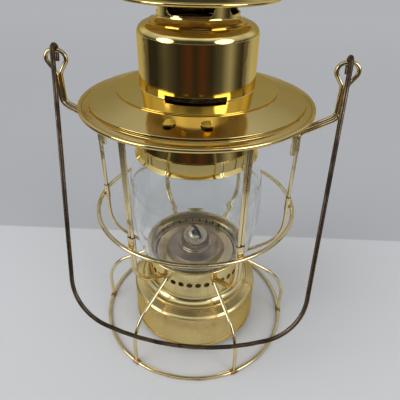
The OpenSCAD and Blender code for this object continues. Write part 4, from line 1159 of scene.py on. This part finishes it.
notch_out, notch_across = outwards(NOTCH_AZ)
cut = slit(
    collar_foot, notch_across, NOTCH_SIDE - NOTCH_W / 2, NOTCH_SIDE + NOTCH_W / 2,
    lambda p: p.dot(notch_out) > 0 and p.z / MM < NOTCH_TOP,
)
print("faces cut for the notch:", cut)
air_hole = (HOLE_D, HOLE_D, HOLE_Z)
collar_cell = 2 * math.pi * COLLAR_R / HOLES
collar = punched_cell(collar_cell, collar_band_z, COLLAR_STEP_Z, air_hole, ROUNDEST * HOLE_D, HOLE_SLICES)
roll_up(collar, COLLAR_R, 0, HOLES)
lip_r = COLLAR_R + COLLAR_STEP_W
lip_path = [(COLLAR_R, COLLAR_STEP_Z), (lip_r, COLLAR_STEP_Z + COLLAR_T), (lip_r, COLLAR_LIP_Z)]
close_skin(collar, collar_foot, spin_path(lip_path, collar_steps, collar_start))
thicken(collar, COLLAR_T)
break_edges(collar, COLLAR_ROUND)
# Painted shade: the dark lining inside, up to just above the air holes, makes them look black.
line_inside(collar, below=HOLE_Z + HOLE_D)
add_roll(collar, lip_r + COLLAR_LIP_D / 2 - COLLAR_T / 2, COLLAR_LIP_Z, COLLAR_LIP_D)
add_roll(collar, COLLAR_FOOT_R - FOOT_BEAD_D / 2, collar_low + FOOT_BEAD_D / 2, FOOT_BEAD_D)
bmesh.ops.recalc_face_normals(collar, faces=collar.faces)
finish_piece(collar, "pierced_neck_collar", collar_sheet, ["neck_collar"], linings=[soot_and_painted_shade])

# %% [markdown]
# ### The fount
#
# The oil fount is a plain drum: a drawn shell with a soft shoulder, and a bottom that is folded round the
# wall in a seam. A bevelled cylinder would come close, but it would have neither the seam nor an inside.
# The shell is a skin with a wall, and the bottom is a closed outline, because its fold has no even
# thickness.

# %% Spin the fount
FOUNT_R, FOUNT_LOW, FOUNT_EDGE_Z, FOUNT_TOP, FOUNT_TOP_R = 48.6, 5.0, 35.6, 40.4, 42.2
SEAM_H, SEAM_OUT, BOTTOM_RISE, CHAMFER, NECK_R = 2.4, 0.5, 2.0, 1.5, 12.3
SHELL_ROUND, SHELL_BENDS, SEAM_ROUND, SEAM_BENDS = 0.6, 8.0, 0.25, 25.0
fount_path = [
    (FOUNT_R, FOUNT_LOW + SEAM_H), (FOUNT_R, FOUNT_EDGE_Z), (FOUNT_R - CHAMFER, FOUNT_EDGE_Z + CHAMFER),
    (FOUNT_TOP_R, FOUNT_TOP - SHEET), (FOUNT_TOP_R - SHEET, FOUNT_TOP), (NECK_R + FIT, FOUNT_TOP),
]
fount = spin_path(fount_path)
thicken(fount, SHEET)
break_edges(fount, SHELL_ROUND, SHELL_BENDS)
finish_piece(fount, "drawn_fount_shell", fount_sheet, ["fount_shell"])
rim = FOUNT_R + SEAM_OUT
seam_top = FOUNT_LOW + SEAM_H - FIT
fold_in = FOUNT_R - 3 * SHEET
floor_low = FOUNT_LOW + BOTTOM_RISE
bottom_path = [
    (0, FOUNT_LOW + SHEET + BOTTOM_RISE), (FOUNT_R - 2 * SHEET, FOUNT_LOW + SHEET + BOTTOM_RISE),
    (FOUNT_R - SHEET, seam_top), (rim, seam_top), (rim, FOUNT_LOW + SEAM_OUT), (rim - SEAM_OUT, FOUNT_LOW),
    (fold_in, FOUNT_LOW), (fold_in - BOTTOM_RISE, floor_low), (0, floor_low),
]
bottom = spin_outline(bottom_path)
break_edges(bottom, SEAM_ROUND, SEAM_BENDS)
finish_piece(bottom, "folded_fount_bottom", fount_sheet, ["fount_bottom"])

# %% [markdown]
# ### The burner's deck
#
# Through the glass the burner shows as a stepped deck with fine rings, a browned disc raised in its
# middle. The rings could be bump alone, but the mesh itself would then be flat, so they are low ridges in
# the outline that is spun.

# %% Spin the deck
DECK_R, DECK_RIM_Z, DECK_RIM_W, BURNER_T = 30.0, 64.0, 0.8, 1.0
DISC_R, DISC_RISE, DOME_R = 20.6, 3.6, 12.0
RIDGE_H, RIDGE_PITCH, RIDGE_EDGE, DISC_RIDGES, SHELF_RIDGES = 0.22, 0.6, 1.2, 12, 9
DECK_ROUND, DECK_BENDS = 0.25, 48.0
disc_z = DECK_RIM_Z + DISC_RISE
disc_foot_r = DISC_R + DISC_RISE / 2
deck_low, shelf_z = DECK_RIM_Z - BURNER_T, DECK_RIM_Z - RIDGE_H


def ridges(r, z, height, count):
    """Points of a row of low rings, from an outer edge inwards."""
    return [(r - RIDGE_EDGE - RIDGE_PITCH * i, z + (height if i % 2 else 0)) for i in range(count)]


deck_path = [(DOME_R + FIT, disc_z - BURNER_T), (DISC_R - BURNER_T / 2, disc_z - BURNER_T)]
deck_path += [(disc_foot_r, deck_low), (DECK_R, deck_low)]
deck_path += [(DECK_R, DECK_RIM_Z), (DECK_R - DECK_RIM_W, DECK_RIM_Z)]
deck_path += ridges(DECK_R, shelf_z, -RIDGE_H, SHELF_RIDGES)
deck_path += [(disc_foot_r + BURNER_T / 2, shelf_z), (DISC_R, disc_z)]
deck_path += ridges(DISC_R, disc_z, RIDGE_H, DISC_RIDGES)
deck_path += [(DOME_R + FIT, disc_z)]
deck = spin_outline(deck_path)
break_edges(deck, DECK_ROUND, DECK_BENDS)
second_finish(deck, lambda face: face.calc_center_median().xy.length / MM < DISC_R)
finish_piece(deck, "stepped_burner_deck", burner_brass, ["burner_deck"], linings=[deck_brown])

# %% [markdown]
# ### The burner's dome
#
# The flame burns in the slot of a small dome: a ball on three beads, each a little narrower than the one
# below. A half ball on a cylinder would be simpler, but the beads show in the photo. The slot lies along
# the wick and is cut as the collar's notch was.

# %% Spin the dome
BEADS, BEAD_IN, BEAD_RISE, BALL_R, BALL_LIFT = 3, 0.45, 1.6, 10.6, 0.6
BALL_STEP, DOME_STEPS, DOME_ROUND, WICK_AZ = 3.0, 144, 0.15, 35
DOME_SLOT_W, DOME_SLOT_LEN, DOME_SLOT_RISE = 2.6, 17.4, 8.6
dome_path = [(DOME_R, disc_z - BURNER_T)]
for i in range(BEADS):
    bead_r, bead_z = DOME_R - BEAD_IN * i, disc_z + BEAD_RISE * i
    dome_path += [(bead_r, bead_z), (bead_r, bead_z + BEAD_RISE - BEAD_IN / 2)]
dome_path += curve((0, disc_z + BEAD_RISE * BEADS + BALL_LIFT), BALL_R, 0, 90, BALL_STEP)
dome = spin_path(dome_path, DOME_STEPS)
wick_along, wick_across = outwards(WICK_AZ)
slot_foot = disc_z + DOME_SLOT_RISE
cut = slit(
    dome, wick_across, -DOME_SLOT_W / 2, DOME_SLOT_W / 2,
    lambda p: abs(p.dot(wick_along)) / MM < DOME_SLOT_LEN / 2 and p.z / MM > slot_foot,
)
print("faces cut for the flame slot:", cut)
thicken(dome, BURNER_T)
break_edges(dome, DOME_ROUND)
line_inside(dome)
finish_piece(dome, "beaded_burner_dome", dome_brass, ["burner_dome"], linings=[soot_and_painted_shade])

# %% [markdown]
# ### What keeps its solid
#
# The burner's body, the wick and its raiser, the ties, the latch plate and the globe's seat are small or
# hidden, and their solids already have the right shape. They could be modelled again, but nothing would
# show, so they only get a finish in place of the plain one.

# %% Give the kept solids a finish
KEPT = {
    tie_brass: ["foot_ties"],
    burner_brass: ["burner_body", "wick_tube", "wick_spindle", "wick_wheels", "screw_ring", "globe_seat"],
    bright_sheet: ["latch_plate", "wick_knob"],
    cotton: ["wick"],
}
for finish, kept in KEPT.items():
    for node in kept:
        solid = frame["nodes"][node]
        solid.data.materials.clear()
        solid.data.materials.append(finish)
print("solids that keep their shape:", sum(len(k) for k in KEPT.values()))

# %% [markdown]
# ## The table
#
# The lantern stands on a pale sheet, with a faint line behind it where the sheet ends and the wall
# begins. A second plane could be the wall, but then it would stand in the way of other views. So the line
# is only a change of tone across one large plane, turned a little, as in the photo.

# %% Lay the table
SHEET_END, SHEET_TURN, LINE_HALF, TABLE_HALF = 96.8 * MM, math.radians(3.5), 2 * MM, 6.0
NEAR_GREY, LINE_GREY, FAR_GREY_WITH_PAINTED_LIGHT = (0.59, 0.60, 0.62), (0.44, 0.45, 0.47), (0.51, 0.52, 0.54)
PAINTED_LIGHT_START, PAINTED_LIGHT_END = 0.2, 1.6


def stage_plane(name, bm, finish):
    """Adds a part of the room."""
    mesh = bpy.data.meshes.new(name)
    bm.to_mesh(mesh)
    bm.free()
    mesh.materials.append(finish)
    plane = add_object(name, mesh)
    print(f"stage: {name}, {len(mesh.polygons)} faces")
    return plane


table_finish, table_shader, table_tone = new_finish("pale_table", roughness=0.7)
table_x, table_y = table_tone.node("ShaderNodeTexCoord", out="Object").split()[:2]
past_line = table_y * math.cos(SHEET_TURN) - table_x * math.sin(SHEET_TURN)
behind = past_line.between(SHEET_END - LINE_HALF, SHEET_END + LINE_HALF)
# Painted light: beyond the line the grey grows paler with distance, to make up for the lamps' falloff.
far_with_painted_light = table_y.between(PAINTED_LIGHT_START, PAINTED_LIGHT_END).tint(LINE_GREY, FAR_GREY_WITH_PAINTED_LIGHT)
near = behind.tint(NEAR_GREY, LINE_GREY)
feed(table_shader, base_color=near.towards(far_with_painted_light, behind))
bm = bmesh.new()
bmesh.ops.create_grid(bm, x_segments=1, y_segments=1, size=TABLE_HALF)
stage_plane("table", bm, table_finish)

# %% [markdown]
# ## The room that the brass mirrors
#
# Polished brass shows the room more than itself, so the room matters as much as the metal. In front of
# the lantern is a dark room with some brown in it and a pale doorway at the right, and behind it is a
# pale wall. Real walls would darken the table. A wide ring on the floor, which only mirrors can see,
# holds the room where the crown looks down at it. It starts in the grey of the table, so no edge shows in
# the brass.

# %% A floor ring for the mirrors
WALL_GREY, TABLE_GREY = (0.50, 0.51, 0.52, 1.0), (0.34, 0.34, 0.34)
DARK_ROOM, DIM_ROOM = (0.025, 0.022, 0.02, 1.0), (0.08, 0.075, 0.065, 1.0)
BROWN, DOORWAY = (0.075, 0.03, 0.014, 1.0), (0.32, 0.31, 0.27, 1.0)
ROUND_THE_ROOM = [
    (-180, WALL_GREY), (-125, WALL_GREY), (-94, DARK_ROOM), (-75, DARK_ROOM), (-55, DIM_ROOM),
    (-28, DARK_ROOM), (-9, BROWN), (2, DARK_ROOM), (14, BROWN), (31, DARK_ROOM), (50, DIM_ROOM),
    (67, DOORWAY), (82, DIM_ROOM), (95, DARK_ROOM), (125, WALL_GREY), (180, WALL_GREY),
]
RING_INNER, RING_GROWTH, RING_LIFT = 0.28, 12, 0.5 * MM
TABLE_ENDS, ROOM_STARTS, ROOM_SIDES = 0.30, 0.44, 96


def glow(name):
    """A finish that only shines, with the Tone to work out its colour."""
    return new_finish(
        name, base_color=(0, 0, 0, 1), roughness=1.0, specular_ior_level=0.0, emission_strength=1.0
    )


ring_finish, ring_shader, ring_tone = glow("mirrored_room")
ring_x, ring_y = ring_tone.node("ShaderNodeTexCoord", out="Object").split()[:2]
bearing = ring_tone.math("ARCTAN2", ring_x, 0 - ring_y) / (2 * math.pi) + 0.5
stops = [(az / 360 + 0.5, colour) for az, colour in ROUND_THE_ROOM]
walls = ring_tone.node("ShaderNodeValToRGB", {"stops": stops}, {0: bearing})
off = ring_tone.math("SQRT", ring_x * ring_x + ring_y * ring_y)
feed(ring_shader, emission_color=walls.towards(TABLE_GREY, 1 - off.between(TABLE_ENDS, ROOM_STARTS)))
bm = bmesh.new()
bmesh.ops.create_circle(bm, segments=ROOM_SIDES, radius=RING_INNER)
grown = bmesh.ops.extrude_edge_only(bm, edges=bm.edges[:])["geom"]
bmesh.ops.scale(bm, verts=only(VERT, grown), vec=(RING_GROWTH, RING_GROWTH, 1))
bmesh.ops.translate(bm, verts=bm.verts, vec=(0, 0, RING_LIFT))
room_ring = stage_plane("mirrored_room", bm, ring_finish)
room_ring.visible_camera = False
room_ring.visible_diffuse = False
room_ring.visible_transmission = False
room_ring.visible_shadow = False

# %% [markdown]
# Seen level or from the back, the camera looks past the table at the dark of the room. A pale curtain far
# out hides it. A lit wall would do that too, but it would also add light and reflections. The curtain is
# there for the camera and for what the glass lets through, and lights nothing.

# %% A curtain for the camera
CURTAIN_R, CURTAIN_H = 5.5, 5.0
CURTAIN_FOOT, CURTAIN_TOP = (0.44, 0.45, 0.46), (0.36, 0.37, 0.38)
curtain_finish, curtain_shader, curtain_tone = glow("pale_curtain")
curtain_z = curtain_tone.node("ShaderNodeTexCoord", out="Object").split()[2]
feed(curtain_shader, emission_color=curtain_z.between(0.0, CURTAIN_H).tint(CURTAIN_FOOT, CURTAIN_TOP))
bm = bmesh.new()
bmesh.ops.create_circle(bm, segments=ROOM_SIDES, radius=CURTAIN_R)
raised = bmesh.ops.extrude_edge_only(bm, edges=bm.edges[:])["geom"]
bmesh.ops.translate(bm, verts=only(VERT, raised), vec=(0, 0, CURTAIN_H))
curtain = stage_plane("pale_curtain", bm, curtain_finish)
curtain.visible_diffuse = False
curtain.visible_glossy = False
curtain.visible_shadow = False

# %% [markdown]
# ## The light
#
# The air round the lantern gives the soft part of the light: a pale wall behind, brighter above, bright
# sides, a ceiling and a bright band above the front. A plain grey sky would be simpler, but brass under
# it looks like painted card. Each part is a product of smooth steps in the direction that is looked in.

# %% The world
SKY = (0.97, 0.99, 1.0, 1.0)
WALL_GLOW, WALL_TOP_GLOW, SIDE_GLOW = 0.27, 0.18, 0.42
CEILING_GLOW, FRONT_GLOW, LEAST_GLOW = 0.22, 0.72, 0.05
world = bpy.data.worlds.new("room")
bpy.context.scene.world = world
world.use_nodes = True
background = world.node_tree.nodes["Background"]
room = Tone(world.node_tree)
east, north, up = room.node("ShaderNodeTexCoord", out="Generated").split()
aside = room.math("ABSOLUTE", east)
back_wall = north.between(0.15, 0.60) * (up.between(0.40, 0.75) * WALL_TOP_GLOW + WALL_GLOW)
sides = aside.between(0.50, 0.85) * up.between(0.05, 0.30) * (1 - up.between(0.60, 0.85)) * SIDE_GLOW
ceiling = aside.between(0.12, 0.42) * up.between(0.30, 0.60) * (1 - up.between(0.85, 0.95)) * CEILING_GLOW
front = (0 - north).between(0.15, 0.45) * up.between(0.45, 0.72) * (1 - up.between(0.90, 0.96)) * FRONT_GLOW
level = back_wall + sides + ceiling * (1 - north.between(0.0, 0.3)) + front + LEAST_GLOW
world.node_tree.links.new(level.socket, background.inputs["Strength"])
background.inputs["Color"].default_value = SKY
print("the world's light is worked out by", len(world.node_tree.nodes), "nodes")

# %% [markdown]
# Two round soft lights stand in front at the left and at the right, and their ovals show on the crown's
# shoulder. They would also leave white patches on the globe, which the photo doesn't show, so light
# linking keeps them off the glass. Two wide suns fill the shadows on the table. A larger lamp could do
# that, but it would be mirrored, and the suns are hidden from mirrors.

# %% The lights
CROWN_MIDDLE = Vector((0, 0, 0.22))
LAMP_AWAY, LAMP_WIDTH, LAMP_POWER, SUN_POWER = 1.0, 0.62, 2.8, 0.75
off_the_glass = bpy.data.collections.new("off_the_glass")
off_the_glass.objects.link(clear_globe)
off_the_glass.collection_objects[0].light_linking.link_state = "EXCLUDE"


def round_light(name, az, rise):
    """A round soft light, seen from the crown at an azimuth and a rise in degrees."""
    data = bpy.data.lights.new(name, "AREA")
    data.shape = "DISK"
    data.size, data.energy = LAMP_WIDTH, LAMP_POWER
    lamp = add_object(name, data)
    e = math.radians(rise)
    towards = outwards(az)[0] * math.cos(e) + Vector((0, 0, math.sin(e)))
    lamp.location = CROWN_MIDDLE + towards * LAMP_AWAY
    lamp.rotation_euler = (-towards).to_track_quat("-Z", "Y").to_euler()
    lamp.light_linking.receiver_collection = off_the_glass


def wide_sun(name, spread, tilt, turn):
    """Light from a wide part of the sky, which the brass doesn't mirror."""
    data = bpy.data.lights.new(name, "SUN")
    data.energy, data.angle = SUN_POWER, math.radians(spread)
    sun = add_object(name, data)
    sun.rotation_euler = (math.radians(tilt), 0, math.radians(turn))
    sun.visible_glossy = False


round_light("left_light", az=-55, rise=9)
round_light("right_light", az=54, rise=15)
wide_sun("window_light", spread=50, tilt=36, turn=-65)
wide_sun("ceiling_light", spread=130, tilt=0, turn=0)
bpy.context.scene.view_settings.view_transform = "Standard"

# %% [markdown]
